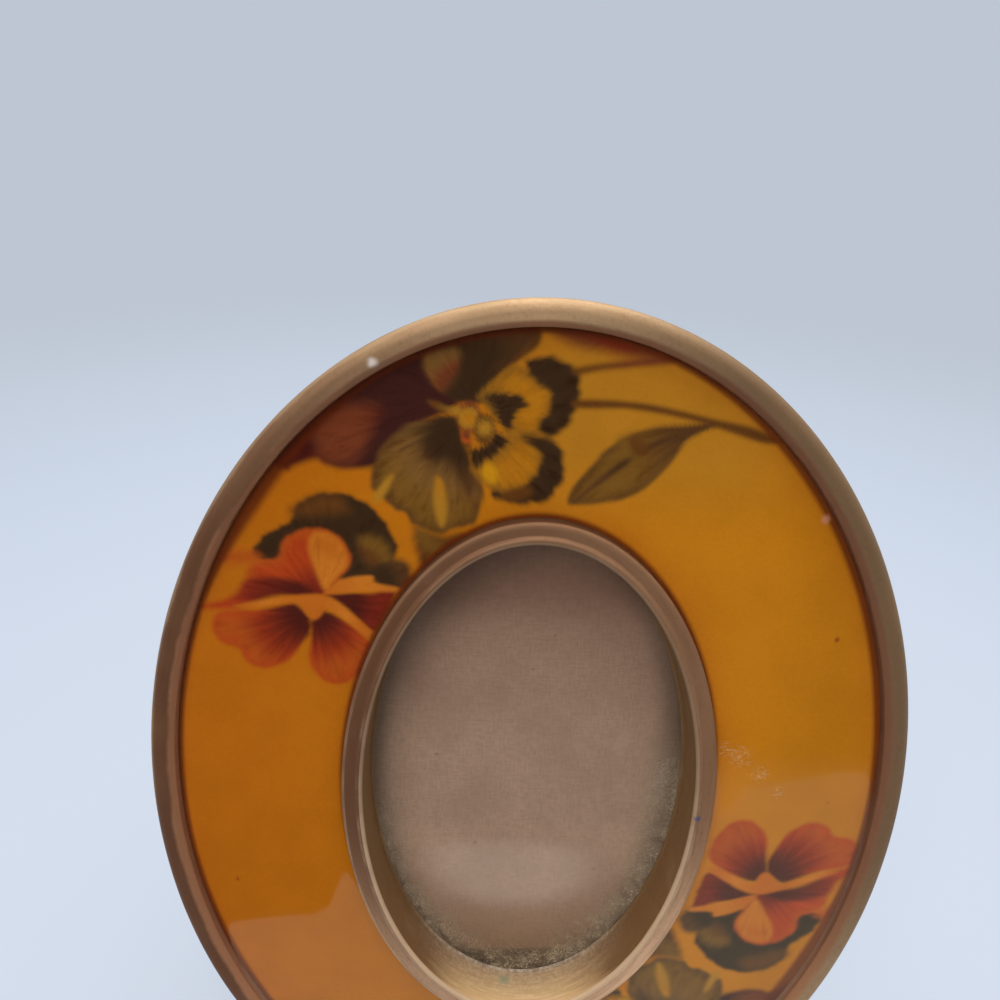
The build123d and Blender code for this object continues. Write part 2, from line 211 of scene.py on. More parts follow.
class OvalFrameColours(bpy.types.PropertyGroup):
    gilt: colour_setting("Gilt", "The rim and the shell", linear(184, 150, 112))
    gilt_worn: colour_setting("Worn gilt", "Edges rubbed bright", linear(206, 174, 128))
    gilt_patina: colour_setting("Patina", "Dark film in the hollows", linear(112, 78, 50))
    liner: colour_setting("Liner", "The liner's face", linear(144, 105, 75))
    # Painted light: the lit tone that the liner's wall takes where its painted light is strongest.
    lit_liner_wall: colour_setting("Liner wall", "The bright wall of the liner", linear(226, 190, 138))
    amber: colour_setting("Amber", "Ground of the print", linear(200, 128, 24))
    card: colour_setting("Card", "The plain card behind the glass", linear(180, 149, 125))
    dust: colour_setting("Dust", "Dust on the glass", linear(192, 172, 144))
    velvet: colour_setting("Velvet", "Cloth on the back and the leg", (0.085, 0.045, 0.035))
    board: colour_setting("Board", "Edges of the pressed boards", (0.3, 0.2, 0.12))
    brass: colour_setting("Brass", "Hinge, tabs and hanger", (0.52, 0.37, 0.16))
    steel: colour_setting("Steel", "The hinge's pin", (0.5, 0.49, 0.47))
    floor: colour_setting("Floor", "Floor round the frame", linear(210, 221, 239))


# Meshes


def full_turn(count):
    """The angles of a full turn, in a column."""
    return np.linspace(0, 2 * math.pi, count, endpoint=False)[:, None]


def grid_faces(rows, columns, close_columns=True):
    """Four-sided faces between the points of a grid whose rows go round, and whose columns may."""
    row = np.arange(rows)
    column = np.arange(columns if close_columns else columns - 1)
    row, column = np.meshgrid(row, column, indexing="ij")
    here = row * columns
    there = (row + 1) % rows * columns
    beside = (column + 1) % columns
    corners = [here + column, here + beside, there + beside, there + column]
    return np.stack(corners, axis=-1).reshape(-1, 4).tolist()


@contextmanager
def edited(mesh):
    """Opens a mesh for editing and puts the result back."""
    edit = bmesh.new()
    edit.from_mesh(mesh)
    yield edit
    edit.to_mesh(mesh)
    edit.free()


def new_piece(name, mesh):
    piece = bpy.data.objects.new(name, mesh)
    bpy.context.scene.collection.objects.link(piece)
    return piece


def shade(mesh, sharp_angle):
    mesh.shade_smooth()
    mesh.set_sharp_from_angle(angle=math.radians(sharp_angle))


def make_piece(name, points, faces, material, sharp_angle=40.0):
    """A smooth-shaded closed mesh with its faces turned outwards."""
    mesh = bpy.data.meshes.new(name)
    mesh.from_pydata(points.reshape(-1, 3).tolist(), [], faces)
    mesh.materials.append(material)
    with edited(mesh) as edit:
        bmesh.ops.recalc_face_normals(edit, faces=edit.faces)
    shade(mesh, sharp_angle)
    return new_piece(name, mesh)


def keep(piece, name, values, kind="FLOAT"):
    """Keeps a number or a vector for each point of the piece."""
    layer = piece.data.attributes.new(name, kind, "POINT")
    field = "value" if kind == "FLOAT" else "vector"
    layer.data.foreach_set(field, np.ascontiguousarray(values, dtype=np.float32).ravel())


def keep_lay(piece, across, height, along, bend):
    """Keeps where each point lies on the frame and along its section, and how it bends there."""
    keep(piece, "lay", np.stack(np.broadcast_arrays(across, height, along), axis=-1), "FLOAT_VECTOR")
    keep(piece, "bend", np.broadcast_to(bend, across.shape))


def rounded(corners, steps=5):
    """
    A run of (offset, depth, radius, wear) corners with each one rounded.
    Returns its points, and the wear at each: above nothing where it is rubbed, below where film gathers.
    """
    points = []
    bends = []
    for index, (offset, depth, radius, wear) in enumerate(corners):
        here = np.array([offset, depth])
        if radius == 0 or index in (0, len(corners) - 1):
            points.append(here)
            bends.append(wear)
            continue
        arms = [np.array(corners[index + way][:2]) - here for way in (-1, 1)]
        room = [np.linalg.norm(arm) for arm in arms]
        before, after = (arm / reach for arm, reach in zip(arms, room))
        half = math.acos(np.clip(before @ after, -1, 1)) / 2
        cut = radius / math.tan(half)
        middle = here + (before + after) / np.linalg.norm(before + after) * radius / math.sin(half)
        start = here + before * cut - middle
        side = np.sign(before[0] * after[1] - before[1] * after[0])
        hold = cut + 0.3 * radius
        if hold < 0.5 * room[0]:
            points.append(here + before * hold)
            bends.append(0.0)
        for step in range(steps + 1):
            turn = -side * (math.pi - 2 * half) * step / steps
            cosine = math.cos(turn)
            sine = math.sin(turn)
            points.append(middle + [start[0] * cosine - start[1] * sine, start[0] * sine + start[1] * cosine])
            bends.append(wear)
        if hold < 0.5 * room[1]:
            points.append(here + after * hold)
            bends.append(0.0)
    return np.array(points), np.array(bends)


def oval_lathe(name, runs, turns, material, wobble):
    """
    A closed ring whose section is a loop of runs. Each run is measured in from the outer oval,
    or out from the sight oval.
    """
    parts = []
    for base, corners in runs:
        half_x, half_y, side = OVALS[base]
        points, bend = rounded(corners)
        offset = side * points[:, 0]
        parts.append(np.stack([half_x + offset, half_y + offset, points[:, 1], bend]))
    half_width, half_height, depth, bend = np.concatenate(parts, axis=1)
    along = np.concatenate([[0], np.cumsum(np.hypot(np.diff(half_width), np.diff(depth)))])
    turn = full_turn(turns)
    across = half_width * np.cos(turn)
    height = half_height * np.sin(turn)
    unevenness = np.sin(5 * turn + 0.7) + 0.6 * np.sin(13 * turn + 2.1) + 0.4 * np.sin(29 * turn + along)
    waved = depth + wobble * unevenness * np.exp(-np.maximum(depth, 0) / 1.5)
    piece = make_piece(name, place(across, height, waved), grid_faces(turns, len(depth)), material)
    keep_lay(piece, across, height, along, bend)
    return piece


def closed_disc(name, points, end_depths, material, sharp_angle=40.0):
    """A piece from a grid that goes round, with its first and last column closed by fans about the centre."""
    turns, columns = points.shape[:2]
    points = points.reshape(-1, 3)
    faces = grid_faces(turns, columns, close_columns=False)
    for column, depth in zip((0, columns - 1), end_depths):
        centre = len(points)
        points = np.vstack([points, place(0.0, 0.0, depth)])
        for row in range(turns):
            faces.append((centre, row * columns + column, (row + 1) % turns * columns + column))
    return make_piece(name, points, faces, material, sharp_angle)


def oval_disc(name, half_width, half_height, front, back, material, turns=256, rows=90, edge=0.1):
    """A closed oval plate with softened edges."""
    shares = np.concatenate([np.linspace(0, 1, rows)[1:], [1.0, 1.0], np.linspace(1, 0, 6)[:-1]])
    inset = np.concatenate([np.zeros(rows - 2), [edge, 0.0, 0.0, edge], np.zeros(4)])
    depth = np.concatenate([np.full(rows - 1, front), [front + edge, back - edge], np.full(5, back)])
    turn = full_turn(turns)
    across = (half_width * shares - inset) * np.cos(turn)
    height = (half_height * shares - inset) * np.sin(turn)
    return closed_disc(name, place(across, height, depth), (front, back), material)


def ring_grid(gap, turn, share):
    """Across and height of a ring between the liner and the rim, and its width each way."""
    inner = np.array([SIGHT_X, SIGHT_Y]) + LINER_FACE + gap
    width = np.array([OUTER_X, OUTER_Y]) - RIM_WIDTH - gap - inner
    across = (inner[0] + width[0] * share) * np.cos(turn)
    height = (inner[1] + width[1] * share) * np.sin(turn)
    return across, height, width


def band(name, across, height, front, back, material):
    """A closed ring with a face of its own and a flat back, and the order of its columns."""
    turns, rows = across.shape
    order = np.concatenate([np.arange(rows), [rows - 1, 0]])
    depth = np.concatenate([np.broadcast_to(front, across.shape), np.full((turns, 2), back)], axis=1)
    points = place(across[:, order], height[:, order], depth)
    return make_piece(name, points, grid_faces(turns, rows + 2), material), order


def cut_level(piece):
    """Cuts the piece off at the table and closes the cut."""
    with edited(piece.data) as edit:
        parts = edit.verts[:] + edit.edges[:] + edit.faces[:]
        plane = {"plane_co": (0, 0, 0), "plane_no": (0, 0, 1)}
        cut = bmesh.ops.bisect_plane(edit, geom=parts, clear_inner=True, **plane)
        rim = [part for part in cut["geom_cut"] if isinstance(part, bmesh.types.BMEdge)]
        bmesh.ops.contextual_create(edit, geom=rim)


def make_plain(piece):
    """Turns a piece and its modifiers into one plain mesh."""
    graph = bpy.context.evaluated_depsgraph_get()
    graph.update()
    mesh = bpy.data.meshes.new_from_object(piece.evaluated_get(graph))
    piece.modifiers.clear()
    piece.data = mesh


def softened_copy(name, node, material, edge, angle=30.0):
    """A copy of a CAD node with its seams merged and its sharp edges rounded."""
    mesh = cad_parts[node].data.copy()
    mesh.name = name
    with edited(mesh) as edit:
        bmesh.ops.remove_doubles(edit, verts=edit.verts, dist=1e-6)
        bmesh.ops.dissolve_limit(edit, angle_limit=math.radians(0.5), verts=edit.verts, edges=edit.edges)
    mesh.materials.clear()
    mesh.materials.append(material)
    mesh.polygons.foreach_set("material_index", np.zeros(len(mesh.polygons), dtype=np.int32))
    piece = new_piece(name, mesh)
    if edge > 0:
        bevel = piece.modifiers.new("Softened edges", "BEVEL")
        bevel.width = edge
        bevel.segments = 2
        bevel.limit_method = "ANGLE"
        bevel.angle_limit = math.radians(angle)
        bevel.harden_normals = False
        make_plain(piece)
    shade(piece.data, angle)
    return piece


def settle(piece, body, node):
    """Fixes a finished piece to its body and hides the node that it stands in for."""
    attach(piece, body)
    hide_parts(node)


def finish_node(node, material):
    """Gives a CAD node its material and leaves its mesh alone."""
    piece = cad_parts[node]
    piece.data.materials.clear()
    piece.data.materials.append(material)


# Materials


class Nodes:
    """Adds nodes to a tree. A value given to an input is linked if it is a socket, and set if it is not."""

    def __init__(self, tree):
        self.tree = tree
        self.tree.nodes.clear()

    def node(self, kind, inputs, **settings):
        node = self.tree.nodes.new(kind if "Node" in kind else "ShaderNode" + kind)
        for key, value in settings.items():
            setattr(node, key, value)
        for key, value in inputs.items():
            socket = node.inputs[key]
            if isinstance(value, bpy.types.NodeSocket):
                self.tree.links.new(value, socket)
            elif socket.type == "RGBA":
                socket.default_value = (*value[:3], 1.0)
            else:
                socket.default_value = value
        return node

    def out(self, kind, inputs, **settings):
        """The first output of a new node."""
        return self.node(kind, inputs, **settings).outputs[0]

    def math(self, kind, *values):
        return self.out("Math", dict(enumerate(values)), operation=kind)

    def times(self, first, second):
        return self.math("MULTIPLY", first, second)

    def mix(self, share, first, second, blend="MIX"):
        inputs = {0: share, 6: first, 7: second}
        return self.node("Mix", inputs, data_type="RGBA", blend_type=blend).outputs[2]

    def seen(self):
        """1 to the eye, to glass and to reflections, and nothing to light that falls on the object."""
        path = self.node("LightPath", {}).outputs
        seen = self.math("MAXIMUM", path["Is Camera Ray"], path["Is Transmission Ray"])
        return self.math("MAXIMUM", seen, path["Is Glossy Ray"])


class Shader(Nodes):
    """Builds one material's nodes."""

    def __init__(self, name):
        self.material = bpy.data.materials.new(name)
        self.material.use_nodes = True
        super().__init__(self.material.node_tree)
        self.output = self.tree.nodes.new("ShaderNodeOutputMaterial")
        self.place = self.tree.nodes.new("ShaderNodeTexCoord").outputs["Object"]

    def attribute(self, name, output="Fac"):
        return self.node("Attribute", {}, attribute_name=name).outputs[output]

    def axes(self, source):
        return self.node("SeparateXYZ", {"Vector": source}).outputs

    def turned(self, source, scale, turn=(0.0, 0.0, 0.0)):
        return self.out("Mapping", {"Vector": source, "Scale": scale, "Rotation": turn})

    def noise(self, scale, detail=4.0, roughness=0.55, source=None, distortion=0.0):
        inputs = {"Scale": scale, "Detail": detail, "Roughness": roughness, "Distortion": distortion}
        inputs["Vector"] = self.place if source is None else source
        return self.node("TexNoise", inputs).outputs["Fac"]

    def streaks(self, source, scale, detail, roughness, turn=(0.0, 0.0, 0.0), distortion=0.0):
        """Noise drawn out along a line."""
        return self.noise(1.0, detail, roughness, self.turned(source, scale, turn), distortion)

    def dots(self, scale, low, high, amount):
        """Small dots, as strong as amount at their middles."""
        cells = self.node("TexVoronoi", {"Scale": scale, "Vector": self.place}).outputs["Distance"]
        return self.between(cells, low, high, amount, 0.0)

    def between(self, value, low, high, start=0.0, end=1.0):
        """Maps low to high on to start to end, smoothly and held at the ends."""
        inputs = {"Value": value, "From Min": low, "From Max": high, "To Min": start, "To Max": end}
        return self.out("MapRange", inputs, interpolation_type="SMOOTHSTEP")

    def over(self, base, *layers):
        """Lays colours over a base one after another, each by its share."""
        for share, colour in layers:
            base = self.mix(share, base, colour)
        return base

    def tinted(self, base, share, tint):
        """Multiplies a base by a tint, by its share."""
        return self.mix(share, base, self.mix(1.0, base, tint, "MULTIPLY"))

    def spot(self, across, height, depth, radius, soft=0.5):
        """One small mark at a place on the frame, 1 at its middle."""
        centre = Vector(place(across, height, depth))
        ragged = self.noise(1400.0, 3.0)
        away = self.node("VectorMath", {0: self.place, 1: centre}, operation="DISTANCE").outputs["Value"]
        uneven = self.math("MULTIPLY_ADD", ragged, radius * MM * 0.5, away)
        edge = radius * MM * 1.25
        return self.between(uneven, edge * (1 - soft), edge, 1.0, 0.0)

    def bump(self, height, distance, strength=1.0, under=None):
        inputs = {"Height": height, "Distance": distance, "Strength": strength}
        if under is not None:
            inputs["Normal"] = under
        return self.out("Bump", inputs)

    def covered(self, surface, share, colour):
        """A dull colour over a surface, by its share."""
        return self.out("MixShader", {0: share, 1: surface, 2: self.out("BsdfDiffuse", {"Color": colour})})

    def finish(self, surface):
        self.tree.links.new(surface, self.output.inputs["Surface"])
        return self.material

    def principled(self, **inputs):
        inputs = {key.replace("_", " "): value for key, value in inputs.items()}
        return self.finish(self.out("BsdfPrincipled", inputs))


class WornMetal(Shader):
    """A plated metal that knows its place along the section, with clouds, grit and worn bends."""

    def __init__(self, name, cloud_scale, grit_scale):
        super().__init__(name)
        self.lay = self.attribute("lay", "Vector")
        self.bend = self.attribute("bend")
        self.axis = self.axes(self.lay)
        self.clouds = self.noise(cloud_scale, 5.0, 0.6)
        self.grit = self.noise(grit_scale, 3.0, 0.7)
        self.uneven = self.between(self.clouds, 0.25, 0.75, -0.3, 0.3)

    def worn(self, low, high, most):
        return self.between(self.math("ADD", self.bend, self.uneven), low, high, 0.0, most)

    def hollow(self, low, high, most):
        return self.between(self.math("SUBTRACT", self.uneven, self.bend), low, high, 0.0, most)

    def plated(self, base, metal, rough, lines, grit_strength):
        normal = self.bump(lines, 0.00003, 0.2, self.bump(self.grit, 0.00003, grit_strength))
        return self.principled(
            Base_Color=base, Metallic=metal, Roughness=rough, Specular_IOR_Level=0.3, Normal=normal
        )


def gilt_material(colours):
    """Antiqued brass plating: dark film in the hollows, fine rubbing along the rim and bright worn edges,
    with painted shade on the left and lower right, painted light on the inner slope and a painted highlight
    along the outer rounding.
    """
    made = WornMetal("Antique gilt", 120.0, 1500.0)
    clouds = made.clouds
    grit = made.grit
    rubbed = made.streaks(made.lay, (0.1, 0.1, 1.1), 4.0, 0.55)
    film = made.between(made.math("ADD", rubbed, clouds), 0.85, 1.25, 0.0, 0.25)
    # Painted shade: the rim's left side and its lower right are darkened, as they are turned from the light.
    left = made.between(made.axis["X"], -56.0, 6.0, 0.95, 0.0)
    right = made.between(made.axis["X"], -4.0, 30.0, 0.0, 0.95)
    right = made.times(right, made.between(made.axis["Y"], -45.0, -5.0, 0.25, 1.0))
    along = made.math("ADD", made.axis["Z"], made.between(clouds, 0.3, 0.7, -0.25, 0.25))
    # Painted light: the inner slope is lightened as if it catches the light, more away from the right side.
    slope = made.mix(right, linear(166, 118, 85), linear(136, 94, 70))
    # Painted highlight: a cream line along the outer rounding, weaker on the right.
    glint = made.times(made.between(along, 5.1, 5.9), made.between(along, 6.9, 6.2))
    glint = made.times(glint, made.math("MULTIPLY_ADD", right, -0.2, 0.25))
    # The share left outside the painted shade. The worn edges are dimmed under that shade.
    shaded = made.math("SUBTRACT", 1.05, made.math("MAXIMUM", left, right))
    base = made.over(
        colours.gilt,
        (left, linear(101, 61, 38)),
        (right, linear(124, 96, 67)),
        (made.between(made.axis["Z"], 7.5, 12.0, 0.0, 0.6), linear(90, 61, 38)),
        (film, colours.gilt_patina),
        (made.between(grit, 0.5, 0.8, 0.0, 0.4), colours.gilt_patina),
        (made.hollow(0.05, 1.0, 0.8), linear(124, 78, 50)),
        (made.between(along, 2.4, 3.2, 0.9, 0.0), slope),
        (glint, linear(220, 190, 146)),
        (made.times(made.worn(0.1, 1.15, 0.6), shaded), colours.gilt_worn),
        (made.spot(-25.0, 70.1, 0.0, 1.15, 0.75), linear(214, 200, 190)),
    )
    rough = made.math("ADD", clouds, made.between(grit, 0.3, 0.7, -0.1, 0.1))
    rough = made.between(rough, 0.3, 0.75, 0.58, 0.72)
    return made.plated(base, made.between(film, 0.0, 0.25, 0.45, 0.35), rough, rubbed, 0.5)


def liner_material(colours):
    """The brass liner: a dull pinkish face, lighter towards the bottom and darker on the left as painted
    light and shade, a light bead, a dark groove, painted shade at its outer foot, and a streaked wall with
    painted light that is brightest at the bottom.
    """
    made = WornMetal("Liner brass", 150.0, 1300.0)
    grit = made.grit
    painted_wall_light = made.attribute("painted_wall_light")
    dusty = made.attribute("dusty")
    rubbed = made.streaks(made.lay, (0.12, 0.12, 1.3), 4.0, 0.55)
    brushed = made.streaks(made.lay, (0.16, 0.16, 2.2), 5.0, 0.6)
    # Painted light and shade on the face: lighter towards the bottom, darker on the left.
    low = made.between(made.axis["Y"], 2.0, -38.0)
    left = made.between(made.axis["X"], -30.0, 16.0, 0.9, 0.0)
    face = made.over(
        colours.liner,
        (low, linear(226, 184, 146)),
        (made.times(left, made.math("MULTIPLY_ADD", low, -0.45, 1.0)), linear(106, 67, 43)),
        (made.between(rubbed, 0.4, 0.7, 0.0, 0.3), linear(120, 84, 58)),
        (made.between(grit, 0.5, 0.75, 0.0, 0.25), colours.gilt_patina),
    )
    # Painted light: the wall is lit up towards the bottom of the oval, with painted highlights in its
    # streaks.
    lit = made.math("ADD", painted_wall_light, made.between(brushed, 0.3, 0.7, -0.1, 0.1))
    bright = made.over(
        linear(132, 98, 62),
        (made.between(lit, 0.0, 0.95), colours.lit_liner_wall),
        (made.between(made.times(painted_wall_light, brushed), 0.36, 0.6, 0.0, 0.5), linear(244, 222, 182)),
    )
    beside = made.between(made.axis["X"], -26.0, 4.0, 0.4, 1.0)
    outside = made.times(made.between(made.axis["Z"], 3.9, 3.4), beside)
    worn = made.times(made.worn(0.05, 1.1, 0.95), made.math("SUBTRACT", 1.0, outside))
    # Real wear with painted light: the rubbed edges are lighter towards the bottom.
    nearer = made.between(made.axis["Y"], 25.0, -25.0)
    worn_and_lit_edge = made.mix(nearer, linear(150, 120, 92), linear(206, 176, 142))
    dust = made.mix(made.between(grit, 0.4, 0.65), linear(136, 118, 100), linear(178, 160, 140))
    base = made.over(
        face,
        (made.attribute("wall"), bright),
        (worn, worn_and_lit_edge),
        # Painted shade in the crevice at the liner's outer foot.
        (made.between(made.axis["Z"], 2.8, 2.3), linear(92, 56, 34)),
        (made.hollow(0.3, 1.2, 0.7), linear(96, 68, 48)),
        (dusty, dust),
        (made.spot(-2.5, -44.1, 5.4, 1.7, 0.95), linear(128, 146, 116)),
        (made.spot(-28.6, 22.4, -0.3, 0.8), linear(190, 180, 172)),
        (made.spot(28.2, -2.6, -0.3, 0.85), linear(84, 84, 124)),
    )
    rough = made.between(made.clouds, 0.3, 0.7, 0.58, 0.72)
    return made.plated(base, made.between(dusty, 0.0, 1.0, 0.4, 0.0), rough, brushed, 0.45)


def paper_material():
    """Printed paper. The painting is in the mesh, and its fine veins and ink grain are added here."""
    made = Shader("Flower print")
    veins = made.axes(made.attribute("veins", "Vector"))
    lines = made.out("CombineXYZ", {"X": veins["X"], "Y": veins["Y"], "Z": 0.0})
    ink = made.noise(1700.0, 2.0, 0.6)
    depth = made.times(made.between(made.noise(1.0, 3.0, 0.6, lines), 0.44, 0.7, 0.0, 0.5), veins["Z"])
    base = made.tinted(made.attribute("paint", "Color"), depth, linear(146, 88, 64))
    base = made.tinted(base, made.between(ink, 0.35, 0.7, 0.0, 0.07), linear(150, 140, 130))
    wash = made.between(made.noise(95.0), 0.35, 0.65, 0.0, 0.25)
    base = made.tinted(base, wash, linear(222, 216, 210))
    normal = made.bump(ink, 0.00001, 0.3)
    return made.principled(Base_Color=base, Roughness=0.8, Specular_IOR_Level=0.0, Normal=normal)


def clear_shader(name, rough, strength, gloss_tint, dusty):
    """A clear layer that shows what lies behind it and reflects by the angle, but not from inside."""
    made = Shader(name)
    facing = made.node("NewGeometry", {}).outputs["Backfacing"]
    share = made.times(strength, made.math("SUBTRACT", 1.0, facing))
    share = made.times(made.out("Fresnel", {"IOR": 1.5}), share)
    # When dusty is set, the reflection shows only where the painted reflection mask lets it.
    if dusty:
        share = made.times(share, made.attribute("reflection_mask"))
    gloss = made.out("BsdfAnisotropic", {"Color": gloss_tint, "Roughness": rough})
    clear = made.out("BsdfTransparent", {"Color": (1.0, 1.0, 1.0)})
    return made, made.out("MixShader", {0: share, 1: clear, 2: gloss})


def poured_material(scuffs):
    """The poured layer, with faint scratched places."""
    made, surface = clear_shader("Poured clear layer", 0.045, 1.0, (1.0, 0.96, 0.7), False)
    for across, height, size in scuffs:
        scratches = made.streaks(made.place, (900.0, 500.0, 3600.0), 3.0, 0.7, (0.0, 0.5, 0.0))
        mark = made.spot(across, height, 1.2, size, 0.95)
        amount = made.times(mark, made.between(scratches, 0.5, 0.64, 0.0, 0.3))
        surface = made.covered(surface, amount, linear(240, 226, 200))
    return made.finish(surface)


def pane_material(colours):
    """Glass with dust and fluff gathered towards its lower edge. Its reflection is kept to a painted patch
    low in the middle and to its upper part.
    """
    made, surface = clear_shader("Pane", 0.07, 1.2, (1.0, 0.94, 0.8), True)
    specks = made.between(made.noise(3000.0, 3.0, 0.9), 0.44, 0.66)
    fluff = made.between(made.noise(260.0, 4.0, 0.7), 0.3, 0.75, 0.25, 1.0)
    amount = made.times(made.times(made.attribute("dust"), fluff), made.math("ADD", specks, 0.45))
    return made.finish(made.covered(surface, made.between(amount, 0.0, 1.2, 0.0, 0.7), colours.dust))


def card_material(colours):
    """Plain brown-grey card with a fine cloth grain. Painted shadow darkens it at the top, painted shade
    darkens its edges and bottom, a dark crescent runs along its lower edge, and a lighter patch low down is a
    painted reflection.
    """
    made = Shader("Plain card")
    upright = made.turned(made.place, (1.0, 1.0, 1.0), (LEAN, 0.0, 0.0))
    threads = made.streaks(upright, (520.0, 520.0, 2600.0), 3.0, 0.6)
    crossing = made.streaks(upright, (2600.0, 520.0, 520.0), 3.0, 0.6)
    grain = made.math("ADD", threads, crossing)
    up = made.axes(upright)["Z"]
    # Painted shadow in a band near the top, as under the upper wall.
    top = made.times(made.between(up, 0.104, 0.113, 0.0, 0.4), made.between(up, 0.116, 0.124, 1.0, 0.0))
    base = made.over(
        colours.card,
        (made.between(grain, 0.7, 1.3, 0.0, 0.26), linear(94, 74, 62)),
        (made.between(made.noise(60.0, 5.0, 0.6), 0.35, 0.7, 0.0, 0.45), linear(146, 116, 98)),
        (made.dots(150.0, 0.02, 0.07, 0.35), linear(80, 64, 54)),
        # Painted shadow: the upper part is darker, as under the deep upper wall. Painted shade also darkens
        # the lower band.
        (made.between(up, 0.08, 0.115, 0.0, 0.4), linear(118, 78, 60)),
        (top, linear(112, 74, 56)),
        (made.between(up, 0.036, 0.058, 0.8, 0.0), linear(122, 95, 72)),
        # Painted reflection: a lighter patch low on the card.
        (made.attribute("painted_reflection"), linear(204, 176, 152)),
        # Painted shade at the edges of the opening, and the dark crescent at the foot.
        (made.attribute("dark_edges"), linear(74, 58, 44)),
    )
    return made.principled(
        Base_Color=base, Roughness=0.9, Specular_IOR_Level=0.15, Normal=made.bump(grain, 0.00004, 0.5)
    )


def velvet_material(colours):
    """Short dark pile, rubbed one way in places, with a soft sheen."""
    made = Shader("Velvet")
    pile = made.noise(3800.0, 2.0, 0.8)
    brushed = made.streaks(made.place, (38.0, 60.0, 30.0), 4.0, 0.6, (0.3, 0.2, 0.5), 1.2)
    base = made.over(
        scaled(colours.velvet, 0.45),
        (made.between(brushed, 0.38, 0.62), colours.velvet),
        (made.between(pile, 0.4, 0.7, 0.0, 0.8), scaled(colours.velvet, 1.9)),
        (made.times(made.dots(240.0, 0.0, 0.045, 1.0), 0.35), linear(150, 140, 130)),
    )
    return made.principled(
        Base_Color=base,
        Roughness=0.95,
        Specular_IOR_Level=0.1,
        Sheen_Weight=0.6,
        Sheen_Roughness=0.4,
        Sheen_Tint=(0.85, 0.55, 0.45),
        Normal=made.bump(pile, 0.0001, 0.9, made.bump(brushed, 0.0002, 0.5)),
    )


def board_material(name, colour, fibre):
    """Pressed fibre board: short fibres, darker specks and a rough face."""
    made = Shader(name)
    fibres = made.streaks(made.place, (900.0, 300.0, 500.0), 5.0, 0.7, (0.4, 0.3, 0.7))
    base = made.over(
        scaled(colour, 0.72),
        (made.between(fibres, 0.35, 0.65), colour),
        (made.dots(700.0, 0.05, 0.2, 0.6), fibre),
    )
    return made.principled(
        Base_Color=base, Roughness=0.88, Specular_IOR_Level=0.2, Normal=made.bump(fibres, 0.00008, 0.7)
    )


def metal_material(name, colour, dull, shine, grain, grain_turn=(0.0, 0.0, 0.0)):
    """Sheet or turned metal: brushed lines, tarnish in clouds, fine scratches and small dark pits."""
    made = Shader(name)
    lines = made.streaks(made.place, grain, 4.0, 0.6, grain_turn)
    tarnish = made.noise(210.0, 6.0, 0.62, distortion=0.6)
    scratch = made.streaks(made.place, (260.0, 1900.0, 900.0), 2.0, 0.5, (0.2, 0.9, 0.5))
    mark = made.between(scratch, 0.62, 0.68)
    base = made.over(
        colour,
        (made.between(tarnish, 0.45, 0.68, 0.0, 0.8), dull),
        (made.between(lines, 0.45, 0.7, 0.0, 0.35), scaled(colour, 1.35)),
        (made.dots(1100.0, 0.04, 0.13, 0.7), scaled(dull, 0.4)),
    )
    rough = made.between(made.math("ADD", tarnish, made.times(mark, 0.12)), 0.35, 0.7, shine, shine + 0.22)
    normal = made.bump(mark, 0.00002, 0.35, made.bump(lines, 0.00002, 0.4))
    return made.principled(Base_Color=base, Metallic=1.0, Roughness=rough, Normal=normal)


# The print: one bunch of pansies, painted twice, the second time turned round at the foot of the oval

INK_TONES = {
    "maroon": (84, 31, 24),
    "wine": (128, 42, 26),
    "plum": (68, 35, 30),
    "dusk": (124, 62, 36),
    "brick": (152, 53, 26),
    "red": (182, 68, 27),
    "rust": (186, 86, 28),
    "orange": (198, 108, 32),
    "straw": (206, 122, 38),
    "yellow": (210, 150, 24),
    "gold": (188, 121, 26),
    "honey": (178, 126, 40),
    "olive": (126, 88, 34),
    "khaki": (130, 92, 46),
    "brown": (106, 64, 28),
    "bark": (92, 60, 33),
    "ink": (64, 45, 28),
    "blush": (214, 146, 112),
}
INKS = {name: np.array(linear(*tone)) for name, tone in INK_TONES.items()}

